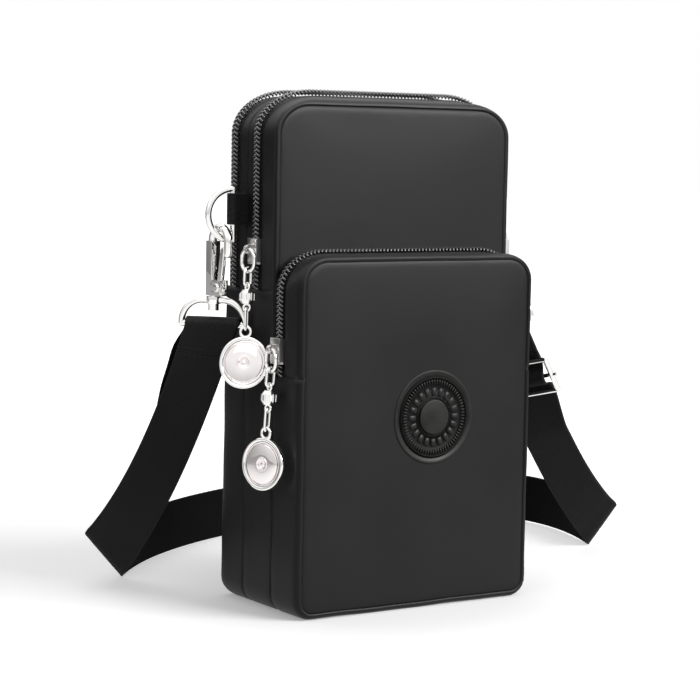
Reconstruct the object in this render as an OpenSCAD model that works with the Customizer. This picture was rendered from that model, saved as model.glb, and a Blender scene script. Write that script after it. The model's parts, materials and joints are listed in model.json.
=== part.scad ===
// Phone pouch: two full-height zipped compartments, a zipped front pocket, charm pulls,
// side rings with snap hooks and a webbing shoulder strap that trails behind on the floor.
// Origin at the bottom centre of the pouch, -Y is the front, +Z is up. Millimetres.

/* [Body] */
// width across the front
body_w = 100; // [90:1:120]
// full height
body_h = 182; // [175:1:200]
// depth of the front pocket
pocket_d = 17; // [15:0.5:22]
// depth of the main compartment
main_d = 19.5; // [18:0.5:24]
// depth of the rear compartment
rear_d = 17.5; // [16:0.5:22]
// height of the front pocket
pocket_h = 127; // [120:1:135]
// padded wall thickness
wall_t = 2; // [1.6:0.1:2.6]
// top corner radius of the tall compartments at their zips
top_r = 17; // [15:0.5:24]
// top corner radius of the tall front and back faces
face_r = 12; // [10:0.5:15]
// top corner radius of the pocket at its zip
pocket_r = 15; // [13:0.5:18]
// top corner radius of the pocket's face
pocket_face_r = 9; // [8:0.5:12]
// bottom corner radius
base_r = 7; // [5:1:10]

/* [Zips] */
// height of the lower ends of the two tall zips
zip_z = 113; // [105:1:118]
// height of the lower ends of the pocket zip
pocket_zip_z = 84; // [78:1:90]
// coil width
coil_w = 4; // [3.4:0.1:4.6]
// tape width that shows between the bands
tape_w = 6.4; // [6:0.1:8]
// charm disc diameter
charm_d = 18.4; // [16:0.2:22]

/* [Strap] */
// webbing width
web_w = 20; // [19:0.5:21]
// webbing thickness
web_t = 1.3; // [1:0.1:1.6]
// ring wire diameter
wire_d = 2.2; // [2:0.1:2.4]
// centreline radius of the D-rings
ring_r = 9.2; // [8.8:0.1:9.6]
// height of the left side tab
tab_z = 141; // [138:1:144]

/* [Badge] */
// outer diameter
badge_d = 33.5; // [28:0.5:38]
// ticks in the ring
ticks = 60; // [36:4:72]

/* [Hidden] */
$fn = 40;

half_w = body_w / 2;
depth = pocket_d + main_d + rear_d;
y_front = -depth / 2;
y_pocket = y_front + pocket_d;
y_main = y_pocket + main_d;
y_back = depth / 2;

// zip centres behind the front of their compartments
pocket_coil_in = 12.8;
main_coil_in = 12.2;
rear_coil_in = 8.1;
pocket_coil_y = y_front + pocket_coil_in;
main_coil_y = y_pocket + main_coil_in;
rear_coil_y = y_main + rear_coil_in;

fabric = [0.16, 0.16, 0.17];
trim = [0.1, 0.1, 0.11];
metal = [0.82, 0.82, 0.83];
webbing = [0.13, 0.13, 0.13];
liner = [0.22, 0.22, 0.23];
disc = [0.85, 0.82, 0.8];

min_r = 0.8;

// upright rounded panel outline, bottom edge on the X axis, inset by e all round
module outline(w, h, rt, rb, e = 0) {
    hw = w / 2 - e;
    ht = rt - e;
    hb = max(rb - e, min_r);
    translate([-hw, e + hb]) square([2 * hw, h - 2 * e - hb - ht]);
    translate([-hw + hb, e]) square([2 * (hw - hb), 2 * hb]);
    translate([-hw + ht, h - e - 2 * ht]) square([2 * (hw - ht), 2 * ht]);
    for (s = [-1, 1]) {
        translate([s * (hw - hb), e + hb]) circle(hb);
        translate([s * (hw - ht), h - e - ht]) circle(ht, $fn = 72);
    }
}

module tall(e = 0) {
    outline(body_w, body_h, top_r, base_r, e);
}

module low(e = 0) {
    outline(body_w, pocket_h, pocket_r, base_r, e);
}

// the same outlines at an inset, with their own top corner radius there
module tall_face(e, r) {
    outline(body_w, body_h, r + e, base_r, e);
}

module low_face(e, r) {
    outline(body_w, pocket_h, r + e, base_r, e);
}

// slab of a drawn outline from y0 to y1
module slab(y0, y1) {
    translate([0, y1, 0]) rotate([90, 0, 0]) linear_extrude(y1 - y0) children();
}

module tall_band(e0, e1, y0, y1) {
    slab(y0, y1) difference() {
        tall(e0);
        tall(e1);
    }
}

module low_band(e0, e1, y0, y1) {
    slab(y0, y1) difference() {
        low(e0);
        low(e1);
    }
}

// ring between two drawn outlines, the wider one first
module ring_slab(y0, y1) {
    slab(y0, y1) difference() {
        children(0);
        children(1);
    }
}

// keeps what is above or below a height
module above(z) {
    intersection() {
        children();
        translate([-body_w, -body_w, z]) cube([2 * body_w, 2 * body_w, 2 * body_h]);
    }
}

module below(z) {
    intersection() {
        children();
        translate([-body_w, -body_w, z - 2 * body_h]) cube([2 * body_w, 2 * body_w, 2 * body_h]);
    }
}

// sewn body: insets of a padded face step by step, from its front to its seam
edge_step = 0.8;
edge_in = 2.2;
edge_mid = 0.9;
edge_out = 0.25;
back_in = 4.2;
back_mid = 2.2;
back_out = 0.8;
face_mid_r = (top_r + face_r) / 2;
pocket_mid_r = (pocket_r + pocket_face_r) / 2;
pipe_in = 0.35;
tape_half = tape_w / 2;
coil_half = coil_w / 2;
tape_in = 0.6;
tape_out = 1.5;
coil_proud = 0.7;

module padded_panel(y, dir) {
    slab(min(y, y + dir * edge_step), max(y, y + dir * edge_step)) children(0);
    slab(min(y + dir * edge_step, y + 2 * dir * edge_step), max(y + dir * edge_step, y + 2 * dir * edge_step))
        children(1);
    slab(min(y + 2 * dir * edge_step, y + 3 * dir * edge_step),
        max(y + 2 * dir * edge_step, y + 3 * dir * edge_step)) children(2);
}

panel_t = 3 * edge_step;

module back_panel() {
    color(fabric) padded_panel(y_back, -1) {
        tall_face(back_in, face_r);
        tall_face(back_mid, face_mid_r);
        tall(back_out);
    }
}

module rear_gusset() {
    color(fabric) below(zip_z) tall_band(0, wall_t, y_main, y_back - panel_t);
}

module rear_zip_band() {
    color(fabric) above(zip_z) {
        tall_band(0, wall_t, y_main, rear_coil_y - tape_half);
        tall_band(0, wall_t, rear_coil_y + tape_half, y_back - panel_t);
    }
}

module rear_zip_tape() {
    color(trim) above(zip_z)
        tall_band(tape_in, tape_out, rear_coil_y - tape_half, rear_coil_y + tape_half);
}

module rear_zip_coil() {
    color(trim) above(zip_z + tape_in)
        tall_band(-coil_proud, tape_in, rear_coil_y - coil_half, rear_coil_y + coil_half);
}

module rear_divider() {
    color(liner) slab(y_main - edge_step, y_main + edge_step) tall(wall_t);
}

module main_gusset() {
    color(fabric) below(zip_z) tall_band(0, wall_t, y_pocket + panel_t, y_main);
}

module main_zip_band() {
    color(fabric) above(zip_z) {
        tall_band(0, wall_t, y_pocket + panel_t, main_coil_y - tape_half);
        tall_band(0, wall_t, main_coil_y + tape_half, y_main);
    }
}

module main_zip_tape() {
    color(trim) above(zip_z)
        tall_band(tape_in, tape_out, main_coil_y - tape_half, main_coil_y + tape_half);
}

module main_zip_coil() {
    color(trim) above(zip_z + tape_in)
        tall_band(-coil_proud, tape_in, main_coil_y - coil_half, main_coil_y + coil_half);
}

module main_front_panel() {
    color(fabric) padded_panel(y_pocket, 1) {
        tall_face(edge_in, face_r);
        tall_face(edge_mid, face_mid_r);
        tall(edge_out);
    }
}

module pocket_gusset() {
    color(fabric) below(pocket_zip_z) low_band(0, wall_t, y_front + panel_t, y_pocket);
}

module pocket_zip_band() {
    color(fabric) above(pocket_zip_z) {
        low_band(0, wall_t, y_front + panel_t, pocket_coil_y - tape_half);
        low_band(0, wall_t, pocket_coil_y + tape_half, y_pocket);
    }
}

module pocket_zip_tape() {
    color(trim) above(pocket_zip_z)
        low_band(tape_in, tape_out, pocket_coil_y - tape_half, pocket_coil_y + tape_half);
}

module pocket_zip_coil() {
    color(trim) above(pocket_zip_z + tape_in)
        low_band(-coil_proud, tape_in, pocket_coil_y - coil_half, pocket_coil_y + coil_half);
}

module pocket_front_panel() {
    color(fabric) padded_panel(y_front, 1) {
        low_face(edge_in, pocket_face_r);
        low_face(edge_mid, pocket_mid_r);
        low(edge_out);
    }
}

// rounded cord in the front and back seams
module seam_piping() {
    color(trim) {
        ring_slab(y_front + pipe_in, y_front + edge_step) {
            low_face(edge_mid, pocket_mid_r);
            low_face(edge_in, pocket_face_r);
        }
        ring_slab(y_pocket + pipe_in, y_pocket + edge_step) {
            tall_face(edge_mid, face_mid_r);
            tall_face(edge_in, face_r);
        }
        ring_slab(y_back - edge_step, y_back - pipe_in) {
            tall_face(back_mid, face_mid_r);
            tall_face(back_in, face_r);
        }
    }
}

// lining bag with its mouth along the zip
lining_t = 0.5;
lining_gap = 0.1;

module tall_lining(y0, y1, coil_y) {
    e0 = wall_t + lining_gap;
    e1 = e0 + lining_t;
    color(liner) difference() {
        slab(y0, y1) tall(e0);
        slab(y0 + lining_t, y1 - lining_t) tall(e1);
        above(zip_z) tall_band(0, e1 + lining_t, coil_y - coil_half, coil_y + coil_half);
    }
}

module rear_lining() {
    tall_lining(y_main + edge_step + lining_gap, y_back - panel_t - lining_gap, rear_coil_y);
}

module main_lining() {
    tall_lining(y_pocket + panel_t + lining_gap, y_main - edge_step - lining_gap, main_coil_y);
}

module pocket_lining() {
    e0 = wall_t + lining_gap;
    e1 = e0 + lining_t;
    y0 = y_front + panel_t + lining_gap;
    y1 = y_pocket - lining_gap;
    color(liner) difference() {
        slab(y0, y1) low(e0);
        slab(y0 + lining_t, y1 - lining_t) low(e1);
        above(pocket_zip_z) low_band(0, e1 + lining_t, pocket_coil_y - coil_half, pocket_coil_y + coil_half);
    }
}

// badge

badge_x = 6;
badge_z = 68.5;
badge_r = badge_d / 2;
badge_base = 0.8;
badge_rim = 1.3;
rim_w = 0.9;
tick_in_share = 0.74;
tick_out_share = 0.9;
centre_share = 0.37;
inner_rim_share = 0.47;
tick_w = 0.5;

module on_badge() {
    translate([badge_x, y_front, badge_z]) rotate([90, 0, 0]) children();
}

module badge_ring() {
    color(trim) on_badge() {
        cylinder(r = badge_r, h = badge_base, $fn = 72);
        for (share = [1, tick_in_share, inner_rim_share]) difference() {
            cylinder(r = badge_r * share, h = badge_rim, $fn = 72);
            cylinder(r = badge_r * share - rim_w, h = 2 * badge_rim, $fn = 72);
        }
        for (i = [0 : ticks - 1]) rotate([0, 0, i * 360 / ticks])
            translate([badge_r * tick_in_share - tick_w / 2, -tick_w / 2, 0])
                cube([badge_r * (tick_out_share - tick_in_share), tick_w, badge_rim]);
    }
}

module badge_centre() {
    color(trim) on_badge() translate([0, 0, badge_base])
        cylinder(r = badge_r * centre_share, h = badge_base, $fn = 72);
}

// side tabs and D-rings

wire_r = wire_d / 2;
run_gap = 0.1;
tab_h = 11;
tab_bore = wire_r + run_gap;
tab_wall = 1;
tab_r = tab_bore + tab_wall;
bar_out = 5;
bar_back = 20.5;
root_back = 19;
bar_y = y_pocket + bar_back;
root_y = y_pocket + root_back;
left_sink = 2.1;
right_sink = 2.1;
ring_turn = 10;
left_bar = [-half_w - bar_out, bar_y];
right_bar = [half_w + bar_out, bar_y];

// flat rod between two drawn points
module rod2(a, b, r) {
    d = b - a;
    translate(a) rotate(atan2(d[1], d[0])) translate([0, -r]) square([norm(d), 2 * r]);
}

module tab(bar, side, z) {
    translate([0, 0, z - tab_h / 2]) linear_extrude(tab_h) difference() {
        union() {
            translate(bar) circle(tab_r);
            rod2([side * (half_w - tab_wall), root_y], bar, tab_wall);
        }
        translate(bar) circle(tab_bore);
        translate([-half_w, y_front]) square([body_w, depth]);
    }
}

module side_tabs() {
    color(webbing) {
        tab(left_bar, -1, tab_z);
        tab(right_bar, 1, tab_z);
    }
}

// D-ring with its bar on the Z axis, bow toward +X
module d_ring() {
    color(metal) {
        cylinder(r = wire_r, h = 2 * ring_r, center = true);
        rotate([90, 0, 0]) rotate([0, 0, -90]) rotate_extrude(angle = 180, $fn = 64)
            translate([ring_r, 0]) circle(wire_r, $fn = 20);
        for (s = [-1, 1]) translate([0, 0, s * ring_r]) sphere(wire_r, $fn = 20);
    }
}

module left_d_ring() {
    translate([left_bar[0], left_bar[1], tab_z - left_sink]) rotate([0, 0, 180 - ring_turn]) d_ring();
}

module right_d_ring() {
    translate([right_bar[0], right_bar[1], tab_z - right_sink]) rotate([0, 0, ring_turn]) d_ring();
}

// snap hooks, drawn in a plane: spine on the -X side, claw and gate on the +X side, top at Y = 0

hook_w = 12.6;
hook_h = 25.5;
hook_t = 3.6;
spine_w = 3.6;
arm_r = 1.5;
claw_h = 10.5;
hook_r = hook_w / 2;
claw_x = hook_r - arm_r;
hole_r = hook_r - 2 * arm_r;
hole_mid = (hole_r - hook_r + spine_w) / 2;
boss_h = 5.5;
boss_w = 8.6;
pin_r = 0.9;
pivot_in = 2.3;
pivot_up = 2.8;
pivot = [-hook_r + boss_w - pivot_in, -hook_h + pivot_up];
gate_w = 2.2;
gate_clear = 0.1;
gate_foot = 1.8;
foot_room = 2.1;
gate_top = [hole_r - gate_w / 2 - gate_clear, -claw_h + gate_w / 2];
stem_in = 2.4;
stem_x = -hook_r + stem_in;
stem_clear = 0.08;
stem_up = 1.8;
stem_bore = 2.2;
rivet_r = 1.5;
rivet_h = 0.5;
pin_clear = 0.05;
rot_left = 275;
rot_right = 108;
hang_t = 4.4;
hang_drop = sqrt(ring_r * ring_r - hang_t * hang_t);

module hook_plane() {
    rotate([90, 0, 0]) children();
}

module hook_body() {
    color(metal) difference() {
        hook_plane() {
            translate([0, -hook_r, 0]) rotate_extrude(angle = 180, $fn = 56)
                translate([claw_x, 0]) circle(arm_r, $fn = 24);
            translate([claw_x, -claw_h, 0]) rotate([-90, 0, 0])
                cylinder(r = arm_r, h = claw_h - hook_r, $fn = 24);
            translate([claw_x, -claw_h, 0]) sphere(arm_r, $fn = 24);
            translate([0, 0, -hook_t / 2]) linear_extrude(hook_t) {
                translate([-hook_r, -hook_h]) square([spine_w, hook_h - hook_r]);
                translate([-hook_r, -hook_h]) square([boss_w, boss_h]);
            }
        }
        // slot that takes the foot of the gate
        hook_plane() translate([pivot[0], pivot[1], 0]) {
            cylinder(r = foot_room, h = hook_t * gate_slot_share, center = true);
            translate([-foot_room, 0, -hook_t * gate_slot_share / 2])
                cube([hook_w, boss_h, hook_t * gate_slot_share]);
            cylinder(r = pin_r, h = 2 * hook_t, center = true, $fn = 24);
        }
        translate([stem_x, 0, -hook_h - stem_bore]) cylinder(r = stem_r + stem_clear, h = 2 * stem_bore);
    }
}

gate_slot_share = 0.5;
gate_share = 0.42;

module gate_body() {
    color(metal) hook_plane() translate([0, 0, -hook_t * gate_share / 2]) linear_extrude(hook_t * gate_share)
        difference() {
            union() {
                rod2(pivot, gate_top, gate_w / 2);
                translate(pivot) circle(gate_foot, $fn = 28);
                translate(gate_top) circle(gate_w / 2, $fn = 24);
            }
            translate(pivot) circle(pin_r + pin_clear, $fn = 24);
        }
}

module rivet_body() {
    color(metal) hook_plane() translate([pivot[0], pivot[1], 0]) {
        cylinder(r = pin_r, h = hook_t, center = true, $fn = 24);
        for (s = [-1, 1]) translate([0, 0, s * (hook_t + rivet_h) / 2])
            cylinder(r = rivet_r, h = rivet_h, center = true, $fn = 24);
    }
}

// places a hook so that its claw hangs on the lower bow of a D-ring
function hang(bar, side, sink) = [bar[0] + side * hang_t * cos(ring_turn),
    bar[1] + hang_t * sin(ring_turn), tab_z - sink - hang_drop + wire_r + 2 * arm_r + hang_gap];
hang_gap = 1;
left_hang = hang(left_bar, -1, left_sink);
right_hang = hang(right_bar, 1, right_sink);

module at_left_hook() {
    translate(left_hang) rotate([0, 0, rot_left]) translate([-hole_mid, 0, 0]) children();
}

module at_right_hook() {
    translate(right_hang) rotate([0, 0, rot_right]) translate([-hole_mid, 0, 0]) children();
}

module left_hook() { at_left_hook() hook_body(); }
module left_gate() { at_left_hook() gate_body(); }
module left_rivet() { at_left_hook() rivet_body(); }
module right_hook() { at_right_hook() hook_body(); }
module right_gate() { at_right_hook() gate_body(); }
module right_rivet() { at_right_hook() rivet_body(); }

// swivel eyes

stem_r = 1.2;
eye_room = 0.7;
eye_in = web_w / 2 + eye_room;
eye_wire = 1.2;
eye_h = 8.5;
eye_gap = 0.35;
collar_r = 2.6;
head_h = 2.4;
eye_turn = -49;
left_stem = stem_at(left_hang, rot_left);
right_stem = stem_at(right_hang, rot_right);
eye_r = eye_in + eye_wire;
collar_h = 2.6;
shoulder = 8;
head_out = 0.7;

function stem_at(p, a) = [p[0] + (stem_x - hole_mid) * cos(a), p[1] + (stem_x - hole_mid) * sin(a),
    p[2] - hook_h];

// eye with its stem up on the Z axis from the foot of the hook, bar across X
module eye_body() {
    color(metal) {
        translate([0, 0, -eye_gap - collar_h]) cylinder(r = collar_r, h = collar_h);
        translate([0, 0, -eye_gap - collar_h]) cylinder(r = stem_r, h = collar_h + eye_gap + stem_up);
        translate([0, 0, -eye_gap - collar_h - head_h]) cylinder(r = stem_r + head_out, h = head_h);
        for (s = [-1, 1]) {
            translate([0, 0, -eye_gap - collar_h / 2]) rotate([0, s * 90, 0])
                cylinder(r = eye_wire, h = eye_r - shoulder);
            translate([s * (eye_r - shoulder), 0, -eye_gap - collar_h / 2 - shoulder])
                rotate([90, 0, 0]) rotate([0, 0, 45 - s * 45])
                    rotate_extrude(angle = 90) translate([shoulder, 0]) circle(eye_wire, $fn = 20);
            translate([s * eye_r, 0, -eye_gap - collar_h / 2 - eye_h])
                cylinder(r = eye_wire, h = eye_h - shoulder);
            translate([s * eye_r, 0, -eye_gap - collar_h / 2 - eye_h]) sphere(eye_wire, $fn = 20);
        }
        translate([0, 0, -eye_gap - collar_h / 2 - eye_h]) rotate([0, 90, 0])
            cylinder(r = eye_wire, h = 2 * eye_r, center = true);
    }
}

module left_eye() {
    translate(left_stem) rotate([0, 0, eye_turn]) eye_body();
}

module right_eye() {
    translate(right_stem) rotate([0, 0, eye_turn]) eye_body();
}

left_bar_c = left_stem - [0, 0, eye_gap + collar_h / 2 + eye_h];
right_bar_c = right_stem - [0, 0, eye_gap + collar_h / 2 + eye_h];

// webbing

half_web = web_w / 2;
half_t = web_t / 2;
eye_dir = [cos(eye_turn), sin(eye_turn), 0];
steps = 14;
run_steps = 26;
turn_steps = 5;
layer_gap = 0.15;
eye_sag = 9;
floor_z = 0.6;
up = [0, 0, 1];

function unit(v) = v / norm(v);
function mix(a, b, t) = a * (1 - t) + b * t;

// flat band through cross-sections given as [edge point, other edge point, inner face normal]
module ribbon(s) {
    k = len(s);
    polyhedron(
        points = [for (q = s) each [q[0] + q[2] * half_t, q[1] + q[2] * half_t, q[1] - q[2] * half_t,
            q[0] - q[2] * half_t]],
        faces = concat(
            [[0, 1, 2, 3]],
            [[4 * k - 1, 4 * k - 2, 4 * k - 3, 4 * k - 4]],
            [for (i = [0 : k - 2], j = [0 : 3]) [4 * i + j, 4 * i + 4 + j, 4 * i + (j + 1) % 4]],
            [for (i = [0 : k - 2], j = [0 : 3]) [4 * i + 4 + j, 4 * i + 4 + (j + 1) % 4, 4 * i + (j + 1) % 4]]
        )
    );
}

// point of a hanging edge between two points, sagging at its middle
function edge_at(p, q, t, sag) = mix(p, q, t) - [0, 0, sag * 4 * t * (1 - t)];
// hanging band between two pairs of edge points, from the top down
function leg(a0, b0, a1, b1, sag, dir) = [for (i = [0 : steps]) let (t = i / steps, e = 0.01,
    a = edge_at(a0, a1, t, sag), b = edge_at(b0, b1, t, sag),
    tan = edge_at((a0 + b0) / 2, (a1 + b1) / 2, t + e, sag) - edge_at((a0 + b0) / 2, (a1 + b1) / 2, t - e, sag))
    [a, b, dir * unit(cross(b - a, tan))]];
function moved(q, d) = [q[0] + q[2] * d, q[1] + q[2] * d, q[2]];
function span(s, i0, i1) = [for (i = [i0 : i1]) s[i]];
function flip(s) = [for (i = [len(s) - 1 : -1 : 0]) s[i]];
function bezier(p, t) = p[0] * pow(1 - t, 3) + p[1] * 3 * t * pow(1 - t, 2) + p[2] * 3 * t * t * (1 - t)
    + p[3] * pow(t, 3);
// turn of a band round a bar: c bar centre, x half-width along it, from face f0 over g to its far side
function turned(c, x, f0, g, r, sweep) = [for (i = [0 : turn_steps]) let (a = i * sweep / turn_steps,
    u = f0 * cos(a) + g * sin(a)) [c - x + u * r, c + x + u * r, -u]];

left_low = [-half_w - 16, y_back + 45, floor_z];
left_top = [-half_w - 37, y_back + 34, web_w + floor_z];
right_low = [half_w + 85, y_back + 14.5, floor_z];
right_top = [half_w + 83, y_back - 5.5, web_w + floor_z];
run_pull_left = [-half_w + 55, y_back + 138, floor_z];
run_pull_right = [half_w + 148, y_back + 153, floor_z];
wrap_gap = 0.12;
loop_r = eye_wire + half_t + wrap_gap;
half_x = half_web * eye_dir;

left_leg = leg(left_bar_c - half_x, left_bar_c + half_x, left_top, left_low, eye_sag, 1);
left_n = left_leg[0][2];
left_up = cross(eye_dir, left_n);
left_ease = [for (i = [1 : steps - 1]) moved(left_leg[i], -loop_r * pow(1 - i / steps, 2))];
left_tail = [for (i = [4 : -1 : 1]) let (q = moved(left_leg[i], -loop_r * pow(1 - i / steps, 2)
    + web_t + layer_gap + loop_r * pow(1 - i / 4, 2))) [q[0], q[1], -q[2]]];

right_leg = leg(right_bar_c + half_x, right_bar_c - half_x, right_top, right_low, eye_sag, -1);
right_n = right_leg[0][2];
right_up = cross(eye_dir, right_n);

adj_wire = 1.1;
adj_bar = 0.9;
adj_l = 15;
adj_w = web_w + 6.4;
adj_i = 3;
adj_q = right_leg[adj_i];
adj_c = (adj_q[0] + adj_q[1]) / 2;
adj_n = adj_q[2];
adj_x = unit(adj_q[0] - adj_q[1]);
adj_y = cross(adj_n, adj_x);
under = adj_wire + half_t + layer_gap;
over = adj_bar + web_t + half_t + 2 * layer_gap;
adj_out = 3;
adj_near = 2;
over_y = 1.4;
bar_out_each = 0.8;

function at_adjuster(y, d) = let (c = adj_c - adj_y * y + adj_n * d)
    [c + adj_x * half_web, c - adj_x * half_web, adj_n];

right_ease = concat(
    [for (i = [1 : adj_i - 3]) moved(right_leg[i], -loop_r * pow(1 - i / steps, 2))],
    [at_adjuster(adj_l / 2 + adj_out, under), at_adjuster(adj_l / 2 - adj_near, under),
        at_adjuster(over_y, -over), at_adjuster(-over_y, -over),
        at_adjuster(adj_near - adj_l / 2, under), at_adjuster(-adj_l / 2 - adj_out, under)],
    [for (i = [adj_i + 3 : steps - 1]) right_leg[i]]);

floor_run = [for (i = [1 : run_steps - 1]) let (t = i / run_steps,
    run = [left_low, run_pull_left, run_pull_right, right_low], p = bezier(run, t),
    d = bezier(run, t + 0.01) - bezier(run, t - 0.01)) [p + web_w * up, p, unit(cross(-up, d))]];

function crease(top, low, leg_dir, run_dir) = [[top, low, unit(unit(leg_dir) + unit(run_dir))]];

strap = concat(
    left_tail,
    flip(turned(left_bar_c, half_x, -left_n, left_up, loop_r, 180)),
    left_ease,
    crease(left_top, left_low, left_bar_c - left_low, run_pull_left - left_low),
    floor_run,
    crease(right_top, right_low, right_bar_c - right_low, run_pull_right - right_low),
    flip(right_ease),
    turned(right_bar_c, -half_x, -right_n, -right_up, loop_r, 180));

// places a drawing at the adjuster: X across, Y along the webbing, Z off its back face
module on_adjuster() {
    multmatrix([[adj_x[0], adj_y[0], adj_n[0], adj_c[0]], [adj_x[1], adj_y[1], adj_n[1], adj_c[1]],
        [adj_x[2], adj_y[2], adj_n[2], adj_c[2]]]) children();
}

module strap_webbing() {
    color(webbing) ribbon(strap);
}

module adjuster_frame() {
    color(metal) on_adjuster() {
        for (s = [-1, 1]) {
            translate([0, s * adj_l / 2, 0]) rotate([0, 90, 0])
                cylinder(r = adj_wire, h = adj_w - 2 * adj_wire, center = true);
            difference() {
                translate([s * (adj_w / 2 - adj_wire), 0, 0]) rotate([90, 0, 0])
                    cylinder(r = adj_wire, h = adj_l, center = true);
                rotate([0, 90, 0]) cylinder(r = adj_bar, h = 2 * adj_w, center = true);
            }
            for (q = [-1, 1]) translate([s * (adj_w / 2 - adj_wire), q * adj_l / 2, 0]) sphere(adj_wire);
        }
    }
}

module adjuster_bar() {
    color(metal) on_adjuster() {
        rotate([0, 90, 0]) cylinder(r = adj_bar, h = adj_w + 2 * bar_out_each, center = true);
    }
}

// sliders and charm pulls: the pull's wire lies in the bail on the Y axis, outside is -X, chain down -Z

bail_x = 3.5;
slider_h = 9;
slider_w = 6.2;
plate_t = 1.3;
channel = 0.12;
pull_wire = 0.65;
link_wire = 0.55;
ring_wire = 0.45;
pull_r = 3.2;
pull_len = 1.4;
link_r = 1.5;
link_len = 3.4;
bead_r = 2.8;
bead_h = 5;
end_r = 1.2;
barrel_h = 2;
cone_h = (bead_h - barrel_h) / 2;
neck_r = 1.7;
flutes = 12;
flute_r = 0.35;
drop_wire = 0.5;
drop_r = 1.1;
drop_len = 5.4;
eyelet_r = 1.9;
eyelet_wire = 0.6;
charm_r = charm_d / 2;
charm_t = 2.6;
charm_rim = 1.5;
socket_r = 1.7;
cap_ring = 0.8;
cap_step = 1;
cap_proud = 0.3;
eyelet_sink = 0.3;
play = 0.06;

pull_low = -(2 * pull_r + pull_len);
link_top = pull_low + pull_wire + link_wire + play;
link_low = link_top - 2 * link_r - link_len;
bead_top = link_low + link_wire + ring_wire + play;
bead_mid = bead_top - 2 * end_r - bead_h / 2;
bead_low = bead_mid - bead_h / 2 - 2 * end_r;
drop_top = bead_low + ring_wire + drop_wire + play;
drop_low = drop_top - 2 * drop_r - drop_len;
eyelet_z = drop_low + drop_wire + eyelet_wire + play - eyelet_r;
charm_z = eyelet_z - eyelet_r - charm_r + eyelet_sink;

// oval ring in the Y-Z plane, top wire centre at the origin
module oval(r, len, wire) {
    rotate([0, 90, 0]) {
        for (s = [0, 1]) translate([r + s * len, 0, 0]) rotate([0, 0, 90 - s * 180])
            rotate_extrude(angle = 180, $fn = 32) translate([r, 0]) circle(wire, $fn = 14);
    }
    for (s = [-1, 1]) translate([0, s * r, -r - len]) cylinder(r = wire, h = len, $fn = 14);
}

bail_hole = 0.9;
bail_half = 0.7;
bail_out = 1.7;
plate_in = bail_x - coil_proud - channel;
flange_sink = 0.45;
flange_in = bail_x + flange_sink;
slider_drop = 5.2;
waist = 1.6;

module slider_body() {
    color(metal) difference() {
        union() {
            translate([plate_in - plate_t, -slider_w / 2, -slider_drop])
                cube([flange_in - plate_in + plate_t, slider_w, slider_h]);
            rotate([90, 0, 0]) cylinder(r = bail_out, h = 2 * bail_half, center = true, $fn = 28);
            translate([0, -bail_half, -bail_out]) cube([plate_in, 2 * bail_half, 2 * bail_out]);
        }
        translate([plate_in, -coil_half - channel, -body_h])
            cube([bail_x, coil_w + 2 * channel, 2 * body_h]);
        rotate([90, 0, 0]) cylinder(r = bail_hole, h = body_w, center = true, $fn = 28);
        for (q = [-1, 1]) translate([plate_in - plate_t / 2, q * slider_w / 2, -slider_drop])
            rotate([0, 0, 45]) cube([plate_t, plate_t, waist], center = true);
    }
}

module pull_body() {
    color(metal) oval(pull_r, pull_len, pull_wire);
}

module link_body() {
    color(metal) translate([0, 0, link_top]) rotate([0, 0, 90]) oval(link_r, link_len, link_wire);
}

// fluted bead with a ring at each end; the lower ring is turned square to the drop link
module bead_body(face) {
    color(metal) {
        translate([0, 0, bead_mid]) difference() {
            union() {
                cylinder(r = bead_r, h = barrel_h, center = true, $fn = 48);
                for (q = [-1, 1]) translate([0, 0, q * (barrel_h + cone_h) / 2]) rotate([90 - q * 90, 0, 0])
                    cylinder(r1 = bead_r, r2 = neck_r, h = cone_h, center = true, $fn = 48);
            }
            for (i = [0 : flutes - 1]) rotate([0, 0, i * 360 / flutes]) translate([bead_r, 0, 0])
                cylinder(r = flute_r, h = bead_h, center = true, $fn = 16);
        }
        translate([0, 0, bead_top]) oval(end_r, 0, ring_wire);
        translate([0, 0, bead_low + 2 * end_r]) rotate([0, 0, face + 90]) oval(end_r, 0, ring_wire);
    }
}

module drop_body() {
    translate([0, 0, drop_top]) oval(drop_r, drop_len, drop_wire);
}

// disc that faces along local -Y, hung from its eyelet
module charm_body() {
    color(metal) {
        translate([0, 0, charm_z]) rotate([90, 0, 0]) difference() {
            cylinder(r = charm_r, h = charm_t, center = true, $fn = 72);
            translate([0, 0, charm_t / 2 - recess]) cylinder(r = charm_r - charm_rim, h = charm_t, $fn = 72);
        }
        translate([0, 0, eyelet_z]) rotate([90, 0, 0]) rotate_extrude($fn = 36)
            translate([eyelet_r, 0]) circle(eyelet_wire, $fn = 14);
    }
}

recess = 1;

module cap_body() {
    color(disc) translate([0, 0, charm_z]) rotate([90, 0, 0]) translate([0, 0, charm_t / 2 - recess])
        difference() {
            union() {
                cylinder(r = charm_r - charm_rim, h = recess / 2, $fn = 72);
                cylinder(r = charm_r - charm_rim - cap_step, h = recess, $fn = 72);
                cylinder(r = socket_r + cap_ring, h = recess + cap_proud, $fn = 36);
            }
            translate([0, 0, recess / 2]) cylinder(r = socket_r, h = 2 * recess, $fn = 36);
        }
}

// hangs one chain: slider place, side turn, lean outward and forward, and turn of its disc
module on_zip(place, side) {
    translate(place) rotate([0, 0, side]) children();
}

module on_chain(place, side, lean) {
    on_zip(place, side) translate([0, 0, pull_low]) rotate(lean) translate([0, 0, -pull_low]) children();
}

main_up = 14.2;
pocket_up = 9.6;
main_place = [-half_w - bail_x, main_coil_y, zip_z + main_up];
main_lean = [-8.5, 6.5, 0];
main_turn = 12;
main_face = -50;
pocket_place = [-half_w - bail_x, pocket_coil_y, pocket_zip_z + pocket_up];
pocket_lean = [0, 4, 0];
pocket_face = -72;
rear_place = [half_w + bail_x, rear_coil_y, zip_z + main_up];

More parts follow.
